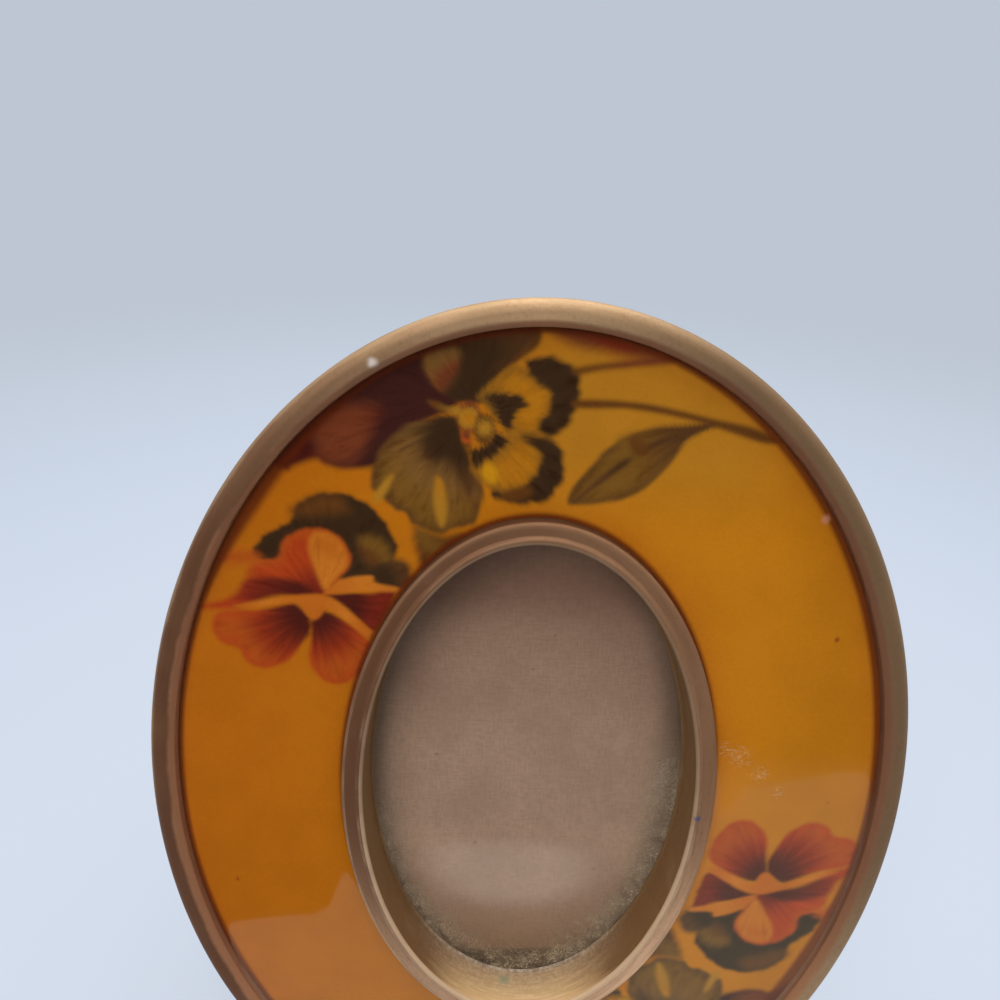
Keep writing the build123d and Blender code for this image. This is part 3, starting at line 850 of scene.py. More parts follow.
# Each petal: its root, its inks from root to tip, the ink of its edge, how soft its edge is, how strong
# its veins are, and its outline as across and height in turn
PETALS = (
    ((-13, 65), "plum plum maroon", "", 0.7, 0.5, (-43, 56, -38.7, 53.8, -37.3, 54.4, -33.9, 55.6, -32.5,
     54.8, -29.4, 54.2, -25.3, 54.7, -22, 57, -20, 60.5, -14, 63.5, -12, 66, -15.5, 66.5, -17.6, 71, -15,
     77, -26, 75, -36, 67, -42, 60)),
    ((-20, 62), "maroon dusk dusk", "", 1.6, 0.6, (-34, 63, -29.3, 63.8, -24.6, 63.7, -24.8, 61.3, -27,
     57.4, -29, 55.2, -31.5, 55, -33.4, 56.4, -34.4, 60)),
    ((-11, 64), "ink ink bark", "brown", 0.5, 0.4, (-17.6, 71, -15.3, 66, -12, 64.6, -9, 65, -7.3, 68.5,
     -4.5, 70.8, -1.5, 73.5, -2.5, 77, -11, 77, -17, 75)),
    ((-12, 66), "bark dusk khaki", "", 1.0, 0.4, (-17.9, 70.8, -15.6, 72.2, -13, 72, -13.4, 68.4, -14.9,
     66.3, -16.5, 67.3, -17.6, 68.9)),
    ((-12.4, 61.6), "ink khaki olive", "bark", 0.5, 1.0, (-13.3, 62.4, -16.4, 62.3, -20, 61.2, -22.2, 59.9,
     -24.4, 57.3, -25.5, 54.8, -25.8, 52.5, -25.5, 51, -23.7, 49.6, -22.2, 48.1, -20.6, 47.5, -19.4, 45.9,
     -17.4, 44.9, -15.5, 44.6, -13, 45.4, -10.1, 46.6, -9.1, 49.5, -9.1, 51.8, -10.3, 54, -11.6, 56.8,
     -12.6, 59.9)),
    ((-12, 62), "ink ink bark", "", 1.2, 0.8, (-13.3, 62.1, -15.7, 62, -17, 60.7, -18.2, 58.5, -18.2, 56.3,
     -16.3, 55.4, -14.4, 56.1, -13.1, 53.6, -11.2, 50.6, -9.8, 52.6, -10.6, 55.6, -11.6, 58)),
    ((-13, 62), "olive gold honey", "", 0.6, 0.3, (-16.1, 53.2, -15.3, 53, -14.6, 51, -14.4, 48.3, -14.7,
     46, -15.5, 45.8, -16.2, 48.3, -16.4, 50.9)),
    ((-13, 62), "olive gold honey", "", 0.5, 0.2, (-22.5, 53.4, -23.3, 51.3, -24.3, 49.6, -25.2, 49, -25.4,
     50.3, -24.3, 51.9, -23.3, 53.1)),
    ((-14, 46), "brown olive brown", "", 1.0, 0.5, (-19.2, 45.4, -15, 44.2, -12, 44.6, -13.8, 41, -17.5,
     38.4, -18.8, 41)),
    ((-9.6, 63), "olive gold gold", "olive", 0.6, 0.6, (-10.3, 65.4, -9, 67.1, -7.3, 68.5, -5.5, 70, -4.4,
     70.3, -3.4, 69.8, -2.3, 69, -0.4, 68, 1.2, 66.3, 1.2, 64.2, 0.3, 62.5, -0.4, 60.9, -1.9, 59.9, -3.4,
     59.8, -5, 60.7, -5.9, 61.1, -7.7, 62.6, -9.3, 64.6)),
    ((-9.6, 63), "ink ink ink", "", 0.65, 1.2, (-3.5, 70.5, -3.1, 71.1, -0.5, 71.6, 2.3, 71, 4.1, 69.6, 4.7,
     67.6, 4.2, 64.1, 3, 61.8, 1.2, 60, -0.2, 60.1, -1.2, 61.3, -0.3, 62.9, 0.4, 64.2, 0.5, 65.7, -0.1,
     67.1, -1.5, 67.7, -2.5, 68.8)),
    ((-9.8, 60.6), "olive gold gold", "olive", 0.6, 0.6, (-6.1, 60.3, -5, 61, -3.6, 60, -1.4, 59.1, -0.2,
     57.8, 0.1, 55.8, -0.6, 53.8, -2.3, 51.9, -4.8, 51.2, -7, 51.4, -8.6, 52.3, -10.8, 54.5, -10.4, 55.9,
     -8.7, 56.7, -6.8, 58, -5.5, 58.8)),
    ((-9, 58), "yellow yellow yellow", "", 0.8, 0.2, (-9.2, 55.2, -8, 55.6, -7, 54.4, -7.2, 53, -8.2, 52.8,
     -9, 53.8)),
    ((-9.8, 60.6), "ink ink ink", "", 0.65, 1.2, (-3.6, 60.1, -1.5, 60.1, 0.5, 59.8, 1.9, 58.9, 2.8, 56.7,
     3, 54.3, 2.2, 52.3, 0.5, 50.3, -2.2, 49.7, -5.3, 49.9, -7.7, 50.9, -6.8, 51.6, -4.8, 51.2, -2.7, 52.5,
     -1.6, 53.8, -0.7, 55.4, -0.5, 57, -1.4, 58.3, -2.8, 59.3)),
    ((-9.8, 60.6), "brown brown brown", "", 0.8, 0.4, (-5.6, 51.5, -2.6, 52.4, -1.6, 51.4, -3.4, 50.2, -6,
     50.2)),
    ((-9.6, 62.8), "ink ink ink", "", 0.6, 1.4, (-9.1, 65.4, -8, 66.1, -5.9, 66.1, -4, 65.9, -2.8, 64.7,
     -4.1, 63.8, -4.8, 62.7, -5.2, 60.9, -6.3, 61.2, -7.1, 62.6, -7.8, 64.1, -8.5, 64.9)),
    ((-9.8, 60.8), "ink ink ink", "", 0.6, 1.4, (-7.5, 60.5, -6.1, 59.8, -5.4, 58.8, -6.6, 57.8, -7.7, 56.6,
     -9, 56.1, -9.9, 54.7, -11, 56.2, -11.2, 57.6, -9.7, 58.1, -8.6, 58.9)),
    ((-11.4, 62.4), "gold honey dusk", "", 0.6, 1.2, (-13.1, 63.6, -12.3, 64.5, -11, 64.8, -10, 64, -9.8,
     62.5, -10.1, 61, -10.9, 60.2, -12, 60.3, -13, 61.6)),
    ((-9, 61), "honey olive brown", "", 0.6, 1.2, (-10, 62.9, -8.9, 63.1, -7.7, 62.4, -7.4, 61.1, -7.8,
     59.7, -8.7, 58.5, -9.7, 58.7, -10.5, 59.6, -10.5, 61.2)),
    ((-11.6, 60), "dusk rust brown", "", 0.5, 0.4, (-12.2, 60.5, -11.3, 60.2, -10.9, 59, -11.2, 58, -12,
     58.2, -12.4, 59.3)),
    ((-12, 63), "honey olive brown", "", 0.4, 0.0, (-13, 62.9, -14.8, 63.2, -16.4, 63.6, -17.5, 64.7, -16.1,
     64.7, -14.5, 64, -12.8, 64)),
    ((10, 76), "wine dusk dusk", "", 1.3, 0.3, (0.5, 74.9, 4, 73.2, 8, 72.6, 13, 71.6, 17, 71.4, 15, 73.4,
     9, 75, 4, 76)),
    ((4, 69), "brown dusk dusk", "", 0.6, 0.0, (4, 69.2, 8, 70, 12, 70.5, 18.4, 71.6, 18.4, 72.4, 11, 71.4,
     4, 70.2)),
    ((4, 65), "brown brown brown", "", 0.5, 0.0, (4.4, 64.4, 12, 64.5, 20, 63.4, 26, 61.9, 32, 60.2, 34.5,
     60.4, 31, 62.2, 24, 63.6, 14, 65.4, 4.6, 65.6)),
    ((24, 62.6), "bark olive olive", "bark", 0.5, 0.8, (3.8, 50.2, 4.6, 52.6, 7, 56, 10.6, 59.6, 15, 61.8,
     20, 62.4, 25, 62.6, 21, 60.2, 18.4, 56, 14.4, 52, 9.4, 50.2, 5.6, 49.8)),
    ((24, 62.6), "bark ink bark", "", 0.5, 0.0, (4.6, 50.1, 9, 53.4, 13.4, 57, 18, 60, 24, 62.5, 17.4, 60.4,
     12, 57.2, 7.8, 53.6)),
    ((15, 60), "brown brown olive", "", 1.4, 0.4, (11, 60, 13.2, 60.6, 15.6, 58.4, 14, 56.8, 11.6, 58)),
    ((-33, 36), "ink ink ink", "", 0.5, 0.9, (-43.6, 39.6, -43, 42.6, -40.6, 44.4, -38.4, 45.6, -36.8, 48.6,
     -33.6, 50.2, -29.4, 50.2, -25.6, 48.2, -23.2, 45, -22, 41.4, -24.5, 37, -29, 36, -34, 38)),
    ((-33, 40), "bark brown brown", "", 1.5, 0.5, (-38, 47.4, -34, 49.8, -30.5, 49.6, -29.5, 47.6, -33, 47,
     -36, 46.6)),
    ((-28, 38), "bark brown olive", "", 1.3, 0.6, (-27.6, 43.4, -24.4, 43.2, -22.8, 40.6, -24, 38.6, -27,
     39.4)),
    ((-27, 36), "ink ink bark", "", 0.8, 0.5, (-25.4, 38.6, -22.6, 40, -20.4, 39.6, -19.8, 36.6, -22, 34.8,
     -25, 35.6)),
    ((-34.5, 33.4), "wine red red", "rust", 0.5, 0.6, (-44.6, 38.4, -42.4, 39.4, -40.2, 40, -39.6, 42.4,
     -37.2, 44.2, -34, 44.8, -31.2, 43.8, -29.4, 41.4, -29.2, 39, -31, 36.6, -32.6, 34.2, -36, 33.6, -42,
     34.4, -45.2, 35.8)),
    ((-34, 33.8), "straw straw orange", "straw", 0.6, 0.5, (-34.4, 44.2, -31.4, 43.5, -29.8, 41.2, -29.7,
     39, -31.4, 36.8, -33.2, 34.6, -34.6, 38, -35.6, 41.8)),
    ((-35, 33.6), "maroon wine red", "", 0.8, 0.6, (-53, 31.2, -49.5, 32.4, -47, 34, -45.2, 36.2, -41, 36.6,
     -37, 35.8, -34.8, 33.9, -40, 33.6, -44, 32.4, -48, 31)),
    ((-35.6, 31), "maroon brick rust", "red", 0.5, 0.6, (-44, 31, -40.4, 31.8, -38, 32.2, -35.8, 30, -35.9,
     27.4, -37.6, 24.8, -39.8, 22.2, -43, 21, -45.8, 21.8, -47.2, 24.2, -49.6, 25.2, -51.2, 27.4, -50.4, 30,
     -47.4, 30.8)),
    ((-35, 31), "maroon brick rust", "red", 0.5, 0.6, (-35.2, 30.6, -32.8, 31, -29.4, 29, -26.6, 26.4,
     -26.2, 24, -27.6, 21.2, -30, 19, -32.4, 18.5, -34.8, 20, -36, 22.6, -35.6, 26.4)),
    ((-34.6, 33), "maroon maroon wine", "", 0.5, 0.7, (-33.6, 33.6, -30, 34.4, -26, 34.3, -22.4, 35.2,
     -23.4, 31.6, -25.6, 28, -28.4, 30, -31, 32)),
    ((-36, 33), "orange straw orange", "", 0.45, 0.2, (-47.6, 31.6, -43, 32.7, -38, 33.6, -34.4, 34, -31.4,
     33, -27.6, 29.6, -25.6, 27.2, -26.8, 27, -30.2, 29.8, -33, 31.6, -36, 32.4, -40, 32.3, -44, 31.5)),
    ((-34, 34), "orange straw straw", "", 0.4, 0.2, (-33.4, 34.2, -30.4, 36.6, -26, 37.4, -25.4, 36.2, -22,
     35.6, -21.8, 34.8, -27, 34.8, -31, 34.2)),
    ((-35, 33), "orange orange orange", "", 0.4, 0.2, (-37.2, 32.4, -35.2, 29.6, -33.4, 31.4, -34.4, 33.4)),
    ((-43, 40), "rust rust rust", "", 1.3, 0.3, (-50.4, 39.2, -47, 40.6, -43.4, 40.4, -43.6, 39, -47,
     38.8)),
)
# Small marks on the print: across, height, size and ink
SPECKS = (
    (-50, -20, 0.35, "wine"),
    (48, 29, 0.4, "wine"),
    (-24, -31, 0.2, "wine"),
    (51, -1, 0.22, "wine"),
    (43.2, 48.8, 0.7, "blush"),
)
REPEAT_TURN = math.pi + math.radians(11.6)
REPEAT_SCALE = 1.027
REPEAT_PIVOT = (42.6, -17.1)
ORIGINAL_PIVOT = (-35.2, 31.2)


def smooth_outline(corners, steps=6):
    """A closed curve through the corners."""
    before, here, after, later = (np.roll(corners, shift, axis=0) for shift in (1, 0, -1, -2))
    share = np.arange(steps)[:, None, None] / steps
    points = 0.5 * (
        2 * here
        + (after - before) * share
        + (2 * before - 5 * here + 4 * after - later) * share**2
        + (3 * here - before - 3 * after + later) * share**3
    )
    return points.swapaxes(0, 1).reshape(-1, 2)


def inside_distance(points, outline):
    """How far each point lies inside the outline. Points outside it are negative."""
    end = np.roll(outline, -1, axis=0)
    edge = end - outline
    to_point = points[:, None] - outline
    share = np.clip((to_point * edge).sum(axis=2) / (edge**2).sum(axis=1), 0, 1)
    gap = to_point - share[:, :, None] * edge
    distance = np.sqrt((gap**2).sum(axis=2)).min(axis=1)
    across, height = points[:, :1], points[:, 1:]
    rise = np.where(edge[:, 1] == 0, 1e-9, edge[:, 1])
    crossing = outline[:, 0] + (height - outline[:, 1]) * edge[:, 0] / rise
    spans = (outline[:, 1] > height) != (end[:, 1] > height)
    inside = (spans & (across < crossing)).sum(axis=1) % 2 == 1
    return np.where(inside, distance, -distance)


def ragged(angle, seed):
    """Uneven lines that fan out from a petal's root."""
    waves = ((0.5, 23, 1.0), (0.3, 41, 2.3), (0.2, 67, 4.1))
    return sum(height * np.sin(count * angle + shift * seed) for height, count, shift in waves)


def smooth_step(value, low, high):
    share = np.clip((value - low) / (high - low), 0, 1)
    return share * share * (3 - 2 * share)


def toward(start, end, share):
    """Colours moved towards others by a share for each point."""
    return start + (end - start) * share[:, None]


def paint_bunch(points, paint, veins):
    """Paints the bunch's petals over the points, one after another."""
    for number, (root, inks, edge_ink, soft, vein, corners) in enumerate(PETALS):
        outline = smooth_outline(np.reshape(corners, (-1, 2)))
        boxed = (points > outline.min(axis=0) - 2) & (points < outline.max(axis=0) + 2)
        near = np.where(boxed.all(axis=1))[0]
        if len(near) == 0:
            continue
        arm = points[near] - root
        away = np.hypot(arm[:, 0], arm[:, 1])
        angle = np.arctan2(arm[:, 1], arm[:, 0])
        lines = ragged(angle, number)
        inside = inside_distance(points[near], outline) + (0.1 + 0.2 * soft) * vein * lines
        share = away / np.hypot(*(outline - root).T).max() + 0.07 * vein * lines
        first, middle, last = (INKS[ink] for ink in inks.split())
        colour = toward(first, middle, smooth_step(share, 0.15, 0.6))
        colour = toward(colour, last, smooth_step(share, 0.48, 0.82))
        if edge_ink:
            rim = (1 - smooth_step(inside, 0.0, 2.2 + 1.2 * lines)) * smooth_step(share, 0.3, 0.6)
            colour = toward(colour, INKS[edge_ink], 0.7 * rim)
        colour = colour * (1 + 0.08 * vein * ragged(angle, number + 5))[:, None]
        cover = smooth_step(inside, -soft, soft)
        paint[near] = toward(paint[near], colour, cover)
        strength = vein * smooth_step(inside, 0.1, 0.9) * smooth_step(away, 0.5, 2.0)
        own = np.stack([angle * 9.0 + 31.0 * number, away * 0.22, 0.75 * strength], axis=1)
        held = cover > 0.5
        veins[near, 2] *= smooth_step(-inside, 0.1, 0.9)
        veins[near[held]] = own[held]


def paint_print(across, height, to_liner, to_rim, amber):
    """The colours and veins of the print at each of its points."""
    # Painted light: the amber ground is lighter and warmer towards the right, as where more light falls.
    right = smooth_step(across, -50, 25)[:, None]
    tone = np.array([0.9, 0.71, 0.7]) + np.array([0.14, 0.31, 0.32]) * right
    dimmed = (1 - 0.1 * smooth_step(across, 32, 48)) * (1 - 0.04 * smooth_step(-height, -10, 40))
    paint = np.array(amber) * tone * dimmed[:, None]
    pale = smooth_step(across, -12, 6) * smooth_step(height, 42, 60) * smooth_step(-across, -48, -26)
    paint = toward(paint, INKS["honey"], 0.62 * pale)
    # Painted reflection: a lighter band along the liner on the right and along the rim, where the clear layer
    # climbs.
    edge_band = np.exp(-to_liner / 2.6) * smooth_step(across, -10, 20) + 0.7 * np.exp(-to_rim / 2.2)
    paint = toward(paint, 1.08 * INKS["orange"], 0.5 * np.minimum(edge_band, 1.0))
    veins = np.zeros_like(paint)
    points = np.stack([across, height], axis=1)
    paint_bunch(points, paint, veins)
    cosine, sine = math.cos(REPEAT_TURN), math.sin(REPEAT_TURN)
    turned = (points - REPEAT_PIVOT) @ np.array([[cosine, -sine], [sine, cosine]])
    below = height < 5 + 0.2 * across
    foot_paint, foot_veins = paint[below], veins[below]
    paint_bunch(turned[below] / REPEAT_SCALE + ORIGINAL_PIVOT, foot_paint, foot_veins)
    paint[below], veins[below] = foot_paint, foot_veins
    # The dark border line is partly the print's own edge and partly painted shade from the rim. The shade
    # widens it at the upper left and the near side.
    upper_left = smooth_step(-across, 22, 44) * smooth_step(height, 30, 50)
    near_side = smooth_step(-height, 10, 40) * (0.15 + smooth_step(across, 10, 40))
    near_side += 0.3 * smooth_step(across, 18, 40) * smooth_step(height, -5, 20)
    start = 0.4 + 0.9 * upper_left + 0.8 * near_side
    line = 1 - smooth_step(to_rim, start, 1.2 + 1.9 * (upper_left + 0.6 * near_side))
    line = np.maximum(line, 1 - smooth_step(to_liner, 0.35, 1.05))
    paint = toward(paint, np.array(linear(108, 44, 20)), 0.88 * line)
    for spot_across, spot_height, size, ink in SPECKS:
        away = np.hypot(across - spot_across, height - spot_height)
        paint = toward(paint, INKS[ink], 0.75 * (1 - smooth_step(away, 0.5 * size, 1.4 * size)))
    return paint, veins


# Geometry Nodes trees for what repeats


class Tree(Nodes):
    """Builds one Geometry Nodes tree with named inputs."""

    def __init__(self, name):
        super().__init__(bpy.data.node_groups.new(name, "GeometryNodeTree"))
        for way in ("OUTPUT", "INPUT"):
            self.tree.interface.new_socket("Geometry", in_out=way, socket_type="NodeSocketGeometry")
        self.entry = self.tree.nodes.new("NodeGroupInput")
        self.exit = self.tree.nodes.new("NodeGroupOutput")

    def input(self, name, kind="NodeSocketFloat"):
        self.tree.interface.new_socket(name, in_out="INPUT", socket_type=kind)
        return self.entry.outputs[name]

    def vector(self, x=0.0, y=0.0, z=0.0):
        return self.out("CombineXYZ", {"X": x, "Y": y, "Z": z})

    def raised(self, geometry, height):
        return self.out("GeometryNodeTransform", {"Geometry": geometry, "Translation": self.vector(z=height)})

    def cylinder(self, vertices, sides, rings, radius, height, lift):
        """An upright cylinder, raised by a share of its height."""
        inputs = {"Vertices": vertices, "Side Segments": sides, "Fill Segments": rings}
        inputs.update({"Radius": radius, "Depth": height})
        solid = self.out("GeometryNodeMeshCylinder", inputs, fill_type="NGON")
        return self.raised(solid, self.times(height, lift))

    def joined(self, *parts):
        node = self.tree.nodes.new("GeometryNodeJoinGeometry")
        for part in parts:
            self.tree.links.new(part, node.inputs[0])
        return node.outputs[0]

    def finish(self, geometry, material):
        smooth = self.out("GeometryNodeSetShadeSmooth", {"Geometry": geometry})
        painted = self.out("GeometryNodeSetMaterial", {"Geometry": smooth, "Material": material})
        self.tree.links.new(painted, self.exit.inputs[0])
        return self.tree


def fastener_tree():
    """
    Round-headed fasteners on points that carry a facing. The head is a turned dome and the shank hangs
    below it. A slot is cut where its width is above nothing.
    """
    made = Tree("Fasteners")
    radius, height, crown = (made.input(name) for name in ("Head Radius", "Head Height", "Crown"))
    shank_radius, shank_length = (made.input(name) for name in ("Shank Radius", "Shank Length"))
    slot_width, slot_depth = (made.input(name) for name in ("Slot Width", "Slot Depth"))
    variation = made.input("Size Variation")
    seed = made.input("Seed", "NodeSocketInt")
    material = made.input("Material", "NodeSocketMaterial")
    # The head is a many-ringed cylinder whose cap is pulled into a dome
    head = made.cylinder(48, 4, 10, radius, height, 0.5)
    spot = made.node("SeparateXYZ", {"Vector": made.out("GeometryNodeInputPosition", {})}).outputs
    square = made.math("ADD", made.math("POWER", spot["X"], 2.0), made.math("POWER", spot["Y"], 2.0))
    out = made.math("DIVIDE", made.math("SQRT", square), radius)
    up = made.math("MAXIMUM", made.math("DIVIDE", spot["Z"], height), 0.0)
    drop = made.times(made.times(made.math("POWER", out, 2.6), crown), made.math("POWER", up, 2.0))
    inputs = {"Geometry": head, "Offset": made.vector(z=made.times(drop, -1.0))}
    head = made.out("GeometryNodeSetPosition", inputs)
    size = made.vector(made.times(radius, 3.0), slot_width, made.times(slot_depth, 2.0))
    cutter = made.raised(made.out("GeometryNodeMeshCube", {"Size": size}), height)
    cut = made.out("GeometryNodeMeshBoolean", {0: head, 1: cutter}, operation="DIFFERENCE", solver="EXACT")
    has_slot = made.out("FunctionNodeCompare", {0: slot_width, 1: 0.0}, operation="GREATER_THAN")
    inputs = {"Switch": has_slot, "False": head, "True": cut}
    slotted = made.out("GeometryNodeSwitch", inputs, input_type="GEOMETRY")
    one = made.joined(slotted, made.cylinder(32, 1, 1, shank_radius, shank_length, -0.499))
    facing = made.out("GeometryNodeInputNamedAttribute", {"Name": "facing"}, data_type="FLOAT_VECTOR")
    low = made.math("SUBTRACT", 1.0, variation)
    high = made.math("ADD", 1.0, variation)
    inputs = {"Min": made.vector(low, low, 1.0), "Max": made.vector(high, high, 1.0), "Seed": seed}
    inputs = {
        "Points": made.entry.outputs["Geometry"],
        "Instance": one,
        "Rotation": made.out("FunctionNodeEulerToRotation", {0: facing}),
        "Scale": made.out("FunctionNodeRandomValue", inputs, data_type="FLOAT_VECTOR"),
    }
    many = made.out("GeometryNodeInstanceOnPoints", inputs)
    return made.finish(made.out("GeometryNodeRealizeInstances", {"Geometry": many}), material)


def fastener_points(places):
    """A mesh of points in metres, each with the way that its fastener faces."""
    mesh = bpy.data.meshes.new("Fastener points")
    mesh.from_pydata([list(spot) for spot, facing, turn in places], [], [])
    layer = mesh.attributes.new("facing", "FLOAT_VECTOR", "POINT")
    for index, (spot, facing, turn) in enumerate(places):
        about = facing.to_track_quat("Z", "Y").to_matrix() @ Matrix.Rotation(math.radians(turn), 3, "Z")
        layer.data[index].vector = about.to_euler()
    return mesh


def grow_fasteners(name, places, material, lengths, variation, seed):
    """Runs the fastener tree on its points and keeps the result as one plain mesh."""
    tree = bpy.data.node_groups.get("Fasteners") or fastener_tree()
    piece = new_piece(name, fastener_points(places))
    modifier = piece.modifiers.new("Fasteners", "NODES")
    modifier.node_group = tree
    keys = {item.name: item.identifier for item in tree.interface.items_tree if item.in_out == "INPUT"}
    values = {key: length * MM for key, length in lengths.items()}
    values.update({"Size Variation": variation, "Seed": seed, "Material": material})
    for key, value in values.items():
        modifier[keys[key]] = value
    make_plain(piece)
    piece.data.set_sharp_from_angle(angle=math.radians(38.0))
    return piece


# Operators: the stage, and one for each group of pieces

# The near edge of the dark card on the floor, in metres
FLAG_EDGE = (
    (-5.0, -0.075), (-0.11, -0.079), (-0.086, -0.082), (-0.068, -0.0865), (-0.058, -0.088), (-0.054, -0.092),
    (-0.054, -0.097), (-0.061, -0.105), (-0.067, -0.115), (-0.071, -0.13), (-0.069, -0.139), (-0.061, -0.147),
    (-0.05, -0.15), (-0.045, -0.14), (-0.042, -0.122), (-0.036, -0.115), (0.05, -0.117), (0.066, -0.125),
    (0.09, -0.16), (0.115, -0.2), (0.17, -0.222), (5.0, -0.3),
)
FLAG_FAR = -3.0
FLAG_LIFT = 0.0004
FLAG_WALL = ((-6.0, FLAG_FAR, 0.0), (6.0, FLAG_FAR, 0.0), (6.0, FLAG_FAR, 1.3), (-6.0, FLAG_FAR, 1.3))
FLOOR_REACH = 12.0
# Each lamp: its name, place, target, size and power
LAMPS = (
    ("Top lamp", (0.15, 0.25, 1.1), (0.0, 0.02, 0.08), 1.2, 15.0),
    ("Front lamp", (-0.5, -0.9, 1.15), (0.0, 0.0, 0.08), 0.9, 9.0),
)
CAMERA_SPOT = (-0.007386, -0.067449, 0.179301)
CAMERA_TURN = (60.543, -1.910, 0.467)


class OVALFRAME_OT_stage(bpy.types.Operator):
    """Makes the floor, the soft lights, the world and the camera"""

    bl_idname = "ovalframe.stage"
    bl_label = "Stage"

    def execute(self, context):
        self.make_floor(context.scene.oval_frame_colours)
        self.make_flag()
        self.make_world()
        self.make_lamps()
        self.make_camera(context)
        context.scene.view_settings.view_transform = "Standard"
        return {"FINISHED"}

    def make_floor(self, colours):
        """A flat sheet that turns into the backdrop a little way off."""
        mesh = bpy.data.meshes.new("Floor")
        corners = [(x * FLOOR_REACH, y * FLOOR_REACH, 0) for x, y in ((-1, -1), (1, -1), (1, 1), (-1, 1))]
        mesh.from_pydata(corners, [], [(0, 1, 2, 3)])
        made = Shader("Pale floor")
        away = made.node("VectorMath", {0: made.place}, operation="LENGTH").outputs["Value"]
        colour = made.mix(made.between(away, 0.1, 0.75), colours.floor, BACKDROP)
        share = made.times(made.seen(), made.between(away, 0.06, 0.4, 0.5, 1.0))
        lit = made.out("BsdfDiffuse", {"Color": linear(180, 187, 198)})
        flat = made.out("Emission", {"Color": colour, "Strength": 1.0})
        mesh.materials.append(made.finish(made.out("MixShader", {0: share, 1: lit, 2: flat})))
        new_piece("floor", mesh)

    def make_flag(self):
        """Dark cards on the floor and upright in front, seen only in reflections, as the darker room is."""
        mesh = bpy.data.meshes.new("Flag")
        points = [(x, FLAG_FAR, FLAG_LIFT) for x, y in FLAG_EDGE] + [(x, y, FLAG_LIFT) for x, y in FLAG_EDGE]
        count = len(FLAG_EDGE)
        faces = [(step, step + 1, count + step + 1, count + step) for step in range(count - 1)]
        faces.append(tuple(range(2 * count, 2 * count + 4)))
        mesh.from_pydata(points + list(FLAG_WALL), [], faces)
        made = Shader("Dark card")
        cloudy = made.between(made.noise(9.0, 2.0), 0.35, 0.65)
        axis = made.axes(made.place)
        edge_light = made.times(made.between(axis["X"], 0.03, 0.12), made.between(axis["Y"], -0.26, -0.16))
        layers = ((cloudy, linear(40, 32, 26)), (edge_light, linear(186, 180, 174)))
        colour = made.over(linear(26, 20, 16), *layers)
        mesh.materials.append(made.principled(Base_Color=colour, Roughness=1.0))
        flag = new_piece("flag", mesh)
        flag.visible_camera = False
        flag.visible_diffuse = False
        flag.visible_shadow = False
        flag.visible_transmission = False

    def make_world(self):
        """A plain backdrop to the eye and to reflections. Its light is dim in front near the horizon."""
        world = bpy.data.worlds.new("Studio")
        bpy.context.scene.world = world
        world.use_nodes = True
        made = Nodes(world.node_tree)
        axis = made.node("SeparateXYZ", {"Vector": made.node("TexCoord", {}).outputs["Generated"]}).outputs
        front = made.out("MapRange", {"Value": axis["Y"], "From Min": -0.25, "From Max": -0.85})
        height = made.out("MapRange", {"Value": axis["Z"], "From Min": 0.72, "From Max": 0.3})
        room = made.mix(made.times(front, height), linear(212, 210, 208), linear(36, 30, 26))
        around = made.out("Background", {"Color": room, "Strength": 0.8})
        plain = made.out("Background", {"Color": BACKDROP, "Strength": 1.0})
        mixed = made.out("MixShader", {0: made.seen(), 1: around, 2: plain})
        made.node("OutputWorld", {"Surface": mixed})

    def make_lamps(self):
        """A large soft lamp above and behind, and a weak one from the left front above."""
        for name, spot, target, size, power in LAMPS:
            light = bpy.data.lights.new(name, "AREA")
            light.size = size
            light.energy = power
            light.color = (1.0, 0.985, 0.96)
            lamp = new_piece(name, light)
            lamp.location = spot
            lamp.rotation_euler = (Vector(target) - Vector(spot)).to_track_quat("-Z", "Y").to_euler()

    def make_camera(self, context):
        """Close above the frame, as the photographer held it."""
        lens = bpy.data.cameras.new("Camera")
        lens.sensor_width = 36.0
        lens.lens = 25.2
        lens.clip_start = 0.005
        camera = new_piece("Camera", lens)
        camera.location = CAMERA_SPOT
        camera.rotation_euler = Euler([math.radians(angle) for angle in CAMERA_TURN])
        context.scene.camera = camera


def boss_places():
    """Across and height of the four screw bosses."""
    for angle in BOSS_ANGLES:
        turn = math.radians(angle)
        yield (OUTER_X - BOSS_INSET) * math.cos(turn), (OUTER_Y - BOSS_INSET) * math.sin(turn)


